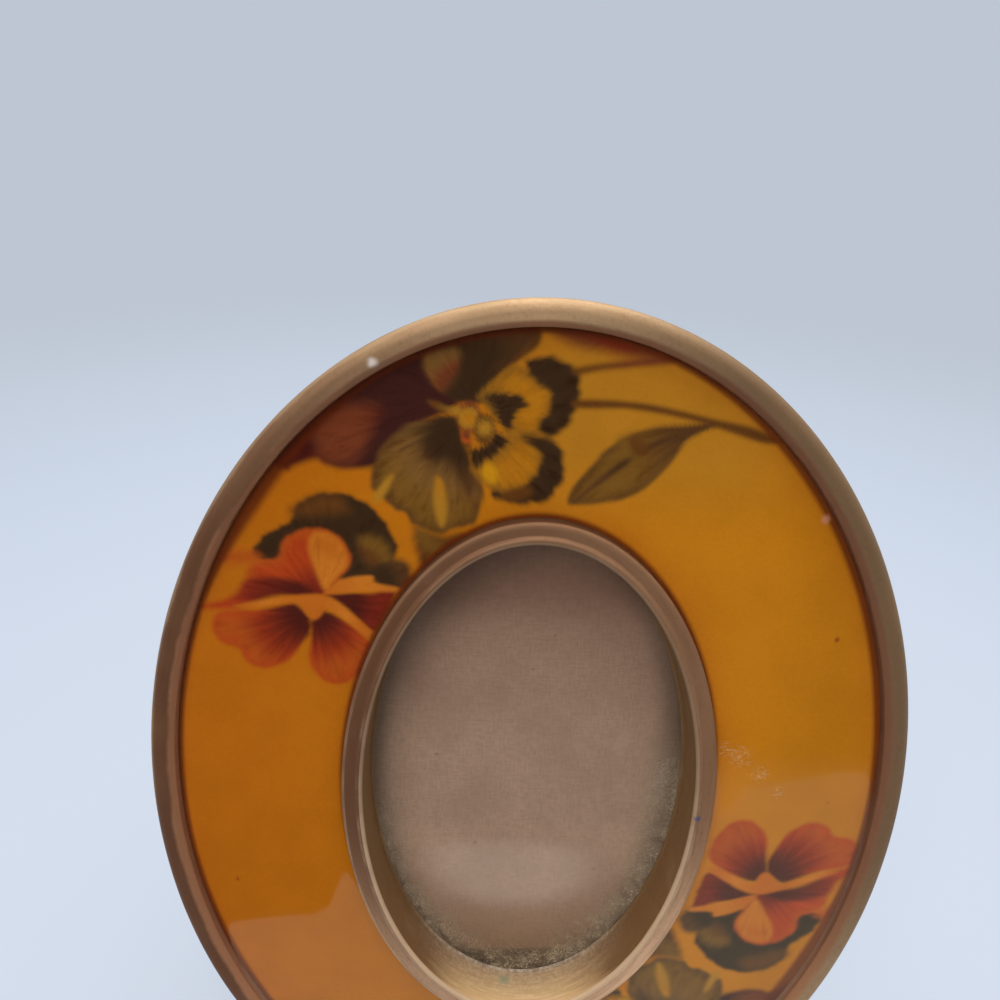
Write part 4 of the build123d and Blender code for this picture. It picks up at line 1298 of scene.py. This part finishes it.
class OVALFRAME_OT_shell(bpy.types.Operator):
    """Makes the cast shell with its rim, trough, well and screw bosses"""

    bl_idname = "ovalframe.shell"
    bl_label = "Shell"

    def execute(self, context):
        sizes = context.scene.oval_frame_sizes
        bevel = sizes.rim_bevel / MM
        edge = sizes.rim_round / MM
        small = 0.18
        outer = (
            (RIM_WIDTH, FLOOR_DEPTH, 0, -1),
            (RIM_WIDTH, bevel, edge, -0.2),
            (RIM_WIDTH - 0.6 * bevel, 0.0, edge, 0.1),
            (bevel, 0.0, 1.6 * bevel, 0.25),
            (0.0, bevel, 1.6 * bevel, 0.1),
            (0.0, BODY_DEPTH, 0.35, 0.6),
            (BACK_RIM, BODY_DEPTH, 0.3, 0.5),
            (BACK_RIM, SEAT_DEPTH, 0, -1),
            (RIM_WIDTH, SEAT_DEPTH, small, 0),
            (RIM_WIDTH, FLOOR_BACK, 0, -1),
        )
        sight = (
            (WELL_OUTSIDE, FLOOR_BACK, 0, -1),
            (WELL_OUTSIDE, SEAT_DEPTH, small, 0),
            (WELL_REACH, SEAT_DEPTH, small, 0),
            (WELL_REACH, FLANGE_FRONT, 0, -1),
            (BORE_REACH, FLANGE_FRONT, 0, 0),
            (BORE_REACH, COLLAR_TOP, 0, 0),
            (COLLAR_REACH, COLLAR_TOP, 0, 0),
            (COLLAR_REACH, FLOOR_DEPTH, 0, 0),
        )
        material = gilt_material(context.scene.oval_frame_colours)
        runs = (("outer", outer), ("sight", sight))
        shell = oval_lathe("frame_shell", runs, sizes.turns, material, sizes.rim_wobble / MM)
        cut_level(shell)
        self.add_bosses(shell, material)
        settle(shell, "frame", "frame_body")
        return {"FINISHED"}

    def add_bosses(self, shell, material):
        """Four turned posts, each with its screw hole."""
        section = (
            (BOSS_RADIUS, BOSS_ROOT, 0, -1),
            (BOSS_RADIUS, BODY_DEPTH, 0.2, 0.6),
            (BOSS_HOLE, BODY_DEPTH, 0.15, 0.4),
            (BOSS_HOLE, BOSS_HOLE_END, 0, -1),
            (0.02, BOSS_HOLE_END, 0, -1),
            (0.02, BOSS_ROOT, 0, -1),
        )
        points, bend = rounded(section, 4)
        out, depth = points.T
        turn = full_turn(BOSS_TURNS)
        with edited(shell.data) as edit:
            for middle_across, middle_height in boss_places():
                across = middle_across + out * np.cos(turn)
                height = middle_height + out * np.sin(turn)
                faces = grid_faces(BOSS_TURNS, len(out))
                post = make_piece("Post", place(across, height, depth), faces, material)
                keep_lay(post, across, height, depth, bend)
                edit.from_mesh(post.data)
                bpy.data.objects.remove(post)


class OVALFRAME_OT_liner(bpy.types.Operator):
    """Makes the brass liner of the sight opening, with its bead, groove, wall, ledge and flange"""

    bl_idname = "ovalframe.liner"
    bl_label = "Liner"

    def execute(self, context):
        sizes = context.scene.oval_frame_sizes
        face = LINER_CROWN
        bead = face - sizes.bead_height / MM
        ledge = sizes.ledge_width / MM
        flange = FLANGE_FRONT + 0.02
        collar = COLLAR_TOP - 0.02
        corners = (
            (LINER_FACE, FLOOR_DEPTH, 0, -1),
            (LINER_FACE, face, 0.6, 0.7),
            (LINER_FACE - 0.9, face - sizes.liner_crown / MM, 0.8, 0),
            (BEAD_WIDTH + 0.5, face + 0.05, 0.4, -0.4),
            (BEAD_WIDTH, bead, 0.5, 0.35),
            (0.0, bead, 0.5, 1.0),
            (0.0, GLASS_FACE - LEDGE_THICKNESS, 0.08, -0.6),
            (-ledge, GLASS_FACE - LEDGE_THICKNESS, 0.12, 0),
            (-ledge, GLASS_FACE, 0.05, 0),
            (FLANGE_REACH, GLASS_FACE, 0, 0),
            (FLANGE_REACH, flange, 0, 0),
            (LINER_WALL, flange, 0, 0),
            (LINER_WALL, collar, 0, 0),
            (LINER_FACE - LINER_SKIRT, collar, 0, 0),
            (LINER_FACE - LINER_SKIRT, FLOOR_DEPTH, 0, 0),
        )
        material = liner_material(context.scene.oval_frame_colours)
        liner = oval_lathe("sight_liner", (("sight", corners),), sizes.turns, material, 0.02)
        points, bend = rounded(corners)
        offset, depth = points.T
        low = -np.sin(full_turn(sizes.turns))
        wall = ((offset < 0.3) & (depth > bead + 0.5)).astype(float)
        keep(liner, "wall", np.broadcast_to(wall, (sizes.turns, len(wall))))
        on_ledge = ((offset < -0.1) & (depth < GLASS_FACE + 0.1)).astype(float)
        deep = smooth_step(depth, bead, GLASS_FACE - 0.4)
        film = np.maximum(on_ledge, 0.55 * wall * smooth_step(deep, 0.45, 1.0))
        keep(liner, "dusty", film * smooth_step(low, 0.6, 0.97))
        # Painted light on the wall: strongest at the bottom of the oval and weaker deeper in.
        keep(liner, "painted_wall_light", smooth_step(low, 0.74, 1.0) * (1 - 0.5 * deep))
        settle(liner, "frame", "sight_ring")
        return {"FINISHED"}


class OVALFRAME_OT_flower_print(bpy.types.Operator):
    """Makes the paper ring and paints its bunch of pansies"""

    bl_idname = "ovalframe.flower_print"
    bl_label = "Flower print"

    def execute(self, context):
        sizes = context.scene.oval_frame_sizes
        turn = full_turn(sizes.print_turns)
        share = np.linspace(0, 1, sizes.print_rows)
        across, height, span = ring_grid(PRINT_GAP, turn, share)
        width = np.hypot(span[0] * np.cos(turn), span[1] * np.sin(turn))
        grid = (across, height, share * width, (1 - share) * width)
        amber = context.scene.oval_frame_colours.amber
        paint, veins = paint_print(*(values.ravel() for values in grid), amber)
        piece, order = band("flower_print", across, height, PRINT_FACE, PRINT_BACK, paper_material())
        paint, veins = (values.reshape(*across.shape, 3)[:, order] for values in (paint, veins))
        colours = np.dstack([paint, np.ones(paint.shape[:2])])
        layer = piece.data.color_attributes.new("paint", "FLOAT_COLOR", "POINT")
        layer.data.foreach_set("color", colours.astype(np.float32).ravel())
        keep(piece, "veins", veins, "FLOAT_VECTOR")
        settle(piece, "frame", "floral_print")
        return {"FINISHED"}


# Faint scratched places on the clear layer: across, height and size
SCUFFS = ((34.8, 7.9, 3.0), (38.3, 4.8, 2.3), (32.0, 9.4, 1.8), (41.5, 1.5, 1.6))


class OVALFRAME_OT_poured_layer(bpy.types.Operator):
    """Makes the clear layer that is poured over the print"""

    bl_idname = "ovalframe.poured_layer"
    bl_label = "Poured layer"

    def execute(self, context):
        sizes = context.scene.oval_frame_sizes
        share = 0.5 - 0.5 * np.cos(np.linspace(0, math.pi, 56))
        across, height, span = ring_grid(RESIN_GAP, full_turn(sizes.turns), share)
        climb = 0.25 * np.exp(-share * span[0] / 0.55) + np.exp((share - 1) * span[0] / 0.55)
        ripple = np.sin(across / 5.1 + 0.4 * np.sin(height / 7.3))
        ripple += np.sin(height / 6.2 + 0.3 * np.sin(across / 4.0))
        front = (sizes.resin_depth - sizes.resin_climb * climb + sizes.resin_ripple * ripple) / MM
        piece, order = band("poured_layer", across, height, front, RESIN_BACK, poured_material(SCUFFS))
        settle(piece, "frame", "clear_resin")
        return {"FINISHED"}


class OVALFRAME_OT_glazing(bpy.types.Operator):
    """Makes the pane with its dust, the plain card, and finishes the filler board"""

    bl_idname = "ovalframe.glazing"
    bl_label = "Glass and card"

    def execute(self, context):
        colours = context.scene.oval_frame_colours
        half = (SIGHT_X + FLANGE_REACH, SIGHT_Y + FLANGE_REACH)
        pane = oval_disc("pane", *half, GLASS_FACE + 0.03, GLASS_BACK - 0.05, pane_material(colours))
        self.add_dust(pane)
        settle(pane, "frame", "glass")
        card = oval_disc("plain_card", *half, GLASS_BACK + 0.02, CARD_BACK, card_material(colours))
        self.add_dark_edges(card)
        settle(card, "frame", "insert_card")
        board = board_material("Grey board", (0.5, 0.47, 0.42), (0.3, 0.27, 0.23))
        finish_node("filler_board", board)
        return {"FINISHED"}

    def lower_edge(self, piece):
        """Across, height, and the distance in from the ledge, for each point."""
        points = np.zeros(len(piece.data.vertices) * 3, dtype=np.float32)
        piece.data.vertices.foreach_get("co", points)
        across, y, z = points.reshape(-1, 3).T / MM
        height = (y - CENTRE_Y) * math.sin(LEAN) + (z - CENTRE_Z) * math.cos(LEAN)
        share = np.hypot(across / (SIGHT_X - 0.5), height / (SIGHT_Y - 0.5))
        return across, height, (1 - share) * np.hypot(across, height) / np.maximum(share, 1e-6)

    def add_dust(self, piece):
        across, height, inward = self.lower_edge(piece)
        rise = 10 * smooth_step(across, -5, 20)
        side = 1 - smooth_step(height, -14 + rise, 2 + rise)
        width = 5.0 + 3.0 * smooth_step(-height, 10, 36) + 3.0 * smooth_step(across, -5, 15)
        keep(piece, "dust", 0.08 + side * (1 - smooth_step(inward, 0.4, width)))
        # Painted reflection mask: the glass reflects in a patch low in the middle and above a line across it,
        # and nowhere else.
        patch = np.hypot((across + 1.5) / 15.5, (height + 20.0) / 9.0)
        keep(piece, "reflection_mask", np.maximum(1 - smooth_step(patch, 0.7, 1.25), smooth_step(height, -14, -11)))

    def add_dark_edges(self, piece):
        across, height, inward = self.lower_edge(piece)
        # Painted shade along the walls of the opening, stronger low on the sides and on the right, and a dark
        # crescent along the lower edge.
        sides = smooth_step(np.abs(across), 8, 24) * smooth_step(-height, -36, -8)
        width = 3.2 + 2.2 * smooth_step(across, 0, 20)
        all_round = (0.4 * sides + 0.25 * smooth_step(across, 5, 24)) * (1 - smooth_step(inward, -0.4, width))
        crescent = 0.9 * smooth_step(0.055 * across - height, 40.5, 41.5)
        keep(piece, "dark_edges", np.maximum(all_round, crescent))
        # Painted reflection: a lighter patch low on the card.
        patch = np.hypot((across + 2.5) / 17.0, (height + 22.5) / 8.5)
        keep(piece, "painted_reflection", 0.2 * (1 - smooth_step(patch, 0.6, 1.15)) * smooth_step(-height, 15.3, 16.6))


def dress(name, node, body, material, edge):
    """Makes a softened copy of a node, fixes it to its body and hides the node."""
    settle(softened_copy(name, node, material, edge), body, node)


class OVALFRAME_OT_back(bpy.types.Operator):
    """Finishes the back board and lays its velvet"""

    bl_idname = "ovalframe.back"
    bl_label = "Back board and velvet"

    def execute(self, context):
        colours = context.scene.oval_frame_colours
        board = board_material("Hardboard", colours.board, DARK_FIBRE)
        dress("back_plate", "back_board", "frame", board, 0.0)
        puff = context.scene.oval_frame_sizes.cloth_puff / MM
        cloth = self.lay_velvet(puff, velvet_material(colours))
        settle(cloth, "frame", "back_velvet")
        return {"FINISHED"}

    def notched(self, direction):
        """The share of each direction at which the cloth ends, at its edge or at a boss."""
        square = (direction**2).sum(axis=1)
        ends = np.ones(len(direction))
        for centre in boss_places():
            along = direction @ centre / square
            inside = along**2 - (np.square(centre).sum() - NOTCH_RADIUS**2) / square
            near = along - np.sqrt(np.maximum(inside, 0))
            ends = np.where((inside > 0) & (along > 0) & (near < ends), near, ends)
        return ends[:, None]

    def lay_velvet(self, puff, material):
        """A disc of cloth, notched round the bosses, with a rolled edge and small pulls at its fixings."""
        turn = full_turn(VELVET_TURNS)
        reach = np.array([OUTER_X, OUTER_Y]) - VELVET_INSET
        direction = reach * np.hstack([np.cos(turn), np.sin(turn)])
        edge = direction * self.notched(direction)
        across, height = edge.T[:, :, None] * np.linspace(0, 1, VELVET_ROWS)[1:]
        lumps = np.sin(across / 3.7 + 0.9) * np.sin(height / 4.9 + 0.3 * np.sin(across / 6.0))
        lumps += 0.6 * np.sin(height / 2.3 + across / 3.1)
        depth = VELVET_BACK - puff * (0.5 - 0.25 * lumps)
        for fix_across, fix_height in HINGE_RIVETS + STRAP_RIVETS:
            away = np.hypot(across - fix_across, height - fix_height)
            depth -= 0.12 * np.exp(-((away / 2.6) ** 2))
        tuck = 1 - VELVET_ROLL / np.hypot(across[:, -1:], height[:, -1:])
        across, height = (
            np.hstack([grid[:, :-1], *(grid[:, -1:] * share for share in (tuck, 1, 1, 0.5))])
            for grid in (across, height)
        )
        rim = depth[:, -1:]
        front = np.full_like(rim, VELVET_FRONT)
        depth = np.hstack([depth, rim - VELVET_ROLL, front, front])
        ends = (float(depth[:, 0].mean()), VELVET_FRONT)
        return closed_disc("back_cloth", place(across, height, depth), ends, material, 60.0)


class OVALFRAME_OT_leg(bpy.types.Operator):
    """Finishes the easel leg and its velvet"""

    bl_idname = "ovalframe.leg"
    bl_label = "Leg"

    def execute(self, context):
        board = board_material("Leg board", context.scene.oval_frame_colours.board, DARK_FIBRE)
        dress("leg_board", "easel_leg", "leg", board, 0.0003)
        dress("leg_cloth", "leg_velvet", "leg", bpy.data.materials["Velvet"], 0.00016)
        return {"FINISHED"}


class OVALFRAME_OT_hardware(bpy.types.Operator):
    """Finishes the tabs, the hinge, the hanger and the ring"""

    bl_idname = "ovalframe.hardware"
    bl_label = "Hardware"

    def execute(self, context):
        brass = context.scene.oval_frame_colours.brass
        steel = context.scene.oval_frame_colours.steel
        edge = context.scene.oval_frame_sizes.sheet_edge
        dull = linear(92, 66, 36)
        tab = metal_material("Tab brass", brass, dull, 0.3, (2400.0, 500.0, 500.0), (0.0, 0.4, 0.6))
        sheet = metal_material("Hinge brass", brass, dull, 0.34, (500.0, 1200.0, 1200.0))
        wire = metal_material("Ring brass", brass, dull, 0.28, (900.0, 900.0, 900.0))
        pin = metal_material("Pin steel", steel, linear(96, 92, 88), 0.26, (2200.0, 300.0, 300.0))
        for number in range(1, 5):
            finish_node("turn_button_" + str(number), tab)
        dress("hinge_sheet", "hinge_plate", "frame", sheet, edge)
        dress("leg_leaf", "hinge_leaf", "leg", sheet, edge)
        dress("hanger_loop", "hanger_strap", "frame", sheet, edge)
        dress("pivot_pin", "hinge_pin", "frame", pin, edge)
        finish_node("hanger_ring", wire)
        return {"FINISHED"}


class OVALFRAME_OT_fasteners(bpy.types.Operator):
    """Grows the slotted screws and the rivets on their points with Geometry Nodes"""

    bl_idname = "ovalframe.fasteners"
    bl_label = "Screws and rivets"

    def execute(self, context):
        bright = scaled(context.scene.oval_frame_colours.brass, 1.12)
        grain = (1500.0, 1500.0, 1500.0)
        finish = metal_material("Screw brass", bright, linear(98, 70, 38), 0.24, grain)
        turned = zip(boss_places(), SCREW_TURNS)
        spots = [(place(*spot, SCREW_SEAT), BACK_FACING, turn) for spot, turn in turned]
        piece = grow_fasteners("tab_screws", spots, finish, SCREW, 0.0, 3)
        settle(piece, "frame", "turn_button_screws")
        finish = metal_material("Rivet brass", bright, linear(98, 70, 38), 0.26, grain)
        plate = [(place(*spot, VELVET_BACK + SHEET), BACK_FACING, 0.0) for spot in HINGE_RIVETS]
        strap = [(place(*spot, VELVET_BACK + STRAP_SHEET), BACK_FACING, 0.0) for spot in STRAP_RIVETS]
        rivets = (
            ("hinge_rivets", plate, 3.2, "frame", "hinge_plate_rivets"),
            ("strap_rivets", strap, 3.1, "frame", "hanger_rivets"),
            ("leaf_rivets", list(self.leaf_places()), 2.0, "leg", "hinge_leaf_rivets"),
        )
        for name, spots, shank, body, node in rivets:
            piece = grow_fasteners(name, spots, finish, {**RIVET, "Shank Length": shank}, 0.02, 8)
            settle(piece, body, node)
        return {"FINISHED"}

    def leaf_places(self):
        """The heads on both faces of the leg and its leaf."""
        middle = Vector(place(0.0, HINGE_HEIGHT, HINGE_DEPTH)) + LEG_DOWN * LEAF_RIVET_DROP * MM
        for side in (-1, 1):
            spot = middle + Vector((side * LEAF_RIVET_SIDE * MM, 0, 0))
            yield spot + LEG_REAR * LEAF_BACK * MM, LEG_REAR, 0.0
            yield spot + LEG_REAR * LEAF_FRONT * MM, -LEG_REAR, 0.0


class OVALFRAME_PT_panel(bpy.types.Panel):
    """The frame's pieces and their settings"""

    bl_idname = "OVALFRAME_PT_panel"
    bl_label = "Oval Frame"
    bl_space_type = "VIEW_3D"
    bl_region_type = "UI"
    bl_category = "Oval Frame"

    def draw(self, context):
        column = self.layout.column()
        for operator in OPERATORS:
            column.operator(operator.bl_idname)
        for settings in (context.scene.oval_frame_sizes, context.scene.oval_frame_colours):
            box = self.layout.box()
            for name in settings.bl_rna.properties.keys():
                if name not in ("rna_type", "name"):
                    box.prop(settings, name)


OPERATORS = (
    OVALFRAME_OT_stage,
    OVALFRAME_OT_shell,
    OVALFRAME_OT_liner,
    OVALFRAME_OT_flower_print,
    OVALFRAME_OT_poured_layer,
    OVALFRAME_OT_glazing,
    OVALFRAME_OT_back,
    OVALFRAME_OT_leg,
    OVALFRAME_OT_hardware,
    OVALFRAME_OT_fasteners,
)
CLASSES = (OvalFrameSizes, OvalFrameColours, *OPERATORS, OVALFRAME_PT_panel)


def register():
    for one in CLASSES:
        bpy.utils.register_class(one)
    bpy.types.Scene.oval_frame_sizes = bpy.props.PointerProperty(type=OvalFrameSizes)
    bpy.types.Scene.oval_frame_colours = bpy.props.PointerProperty(type=OvalFrameColours)


def unregister():
    del bpy.types.Scene.oval_frame_colours
    del bpy.types.Scene.oval_frame_sizes
    for one in reversed(CLASSES):
        bpy.utils.unregister_class(one)


def main():
    register()
    for operator in OPERATORS:
        group, name = operator.bl_idname.split(".")
        getattr(getattr(bpy.ops, group), name)()


if __name__ == "__main__":
    main()
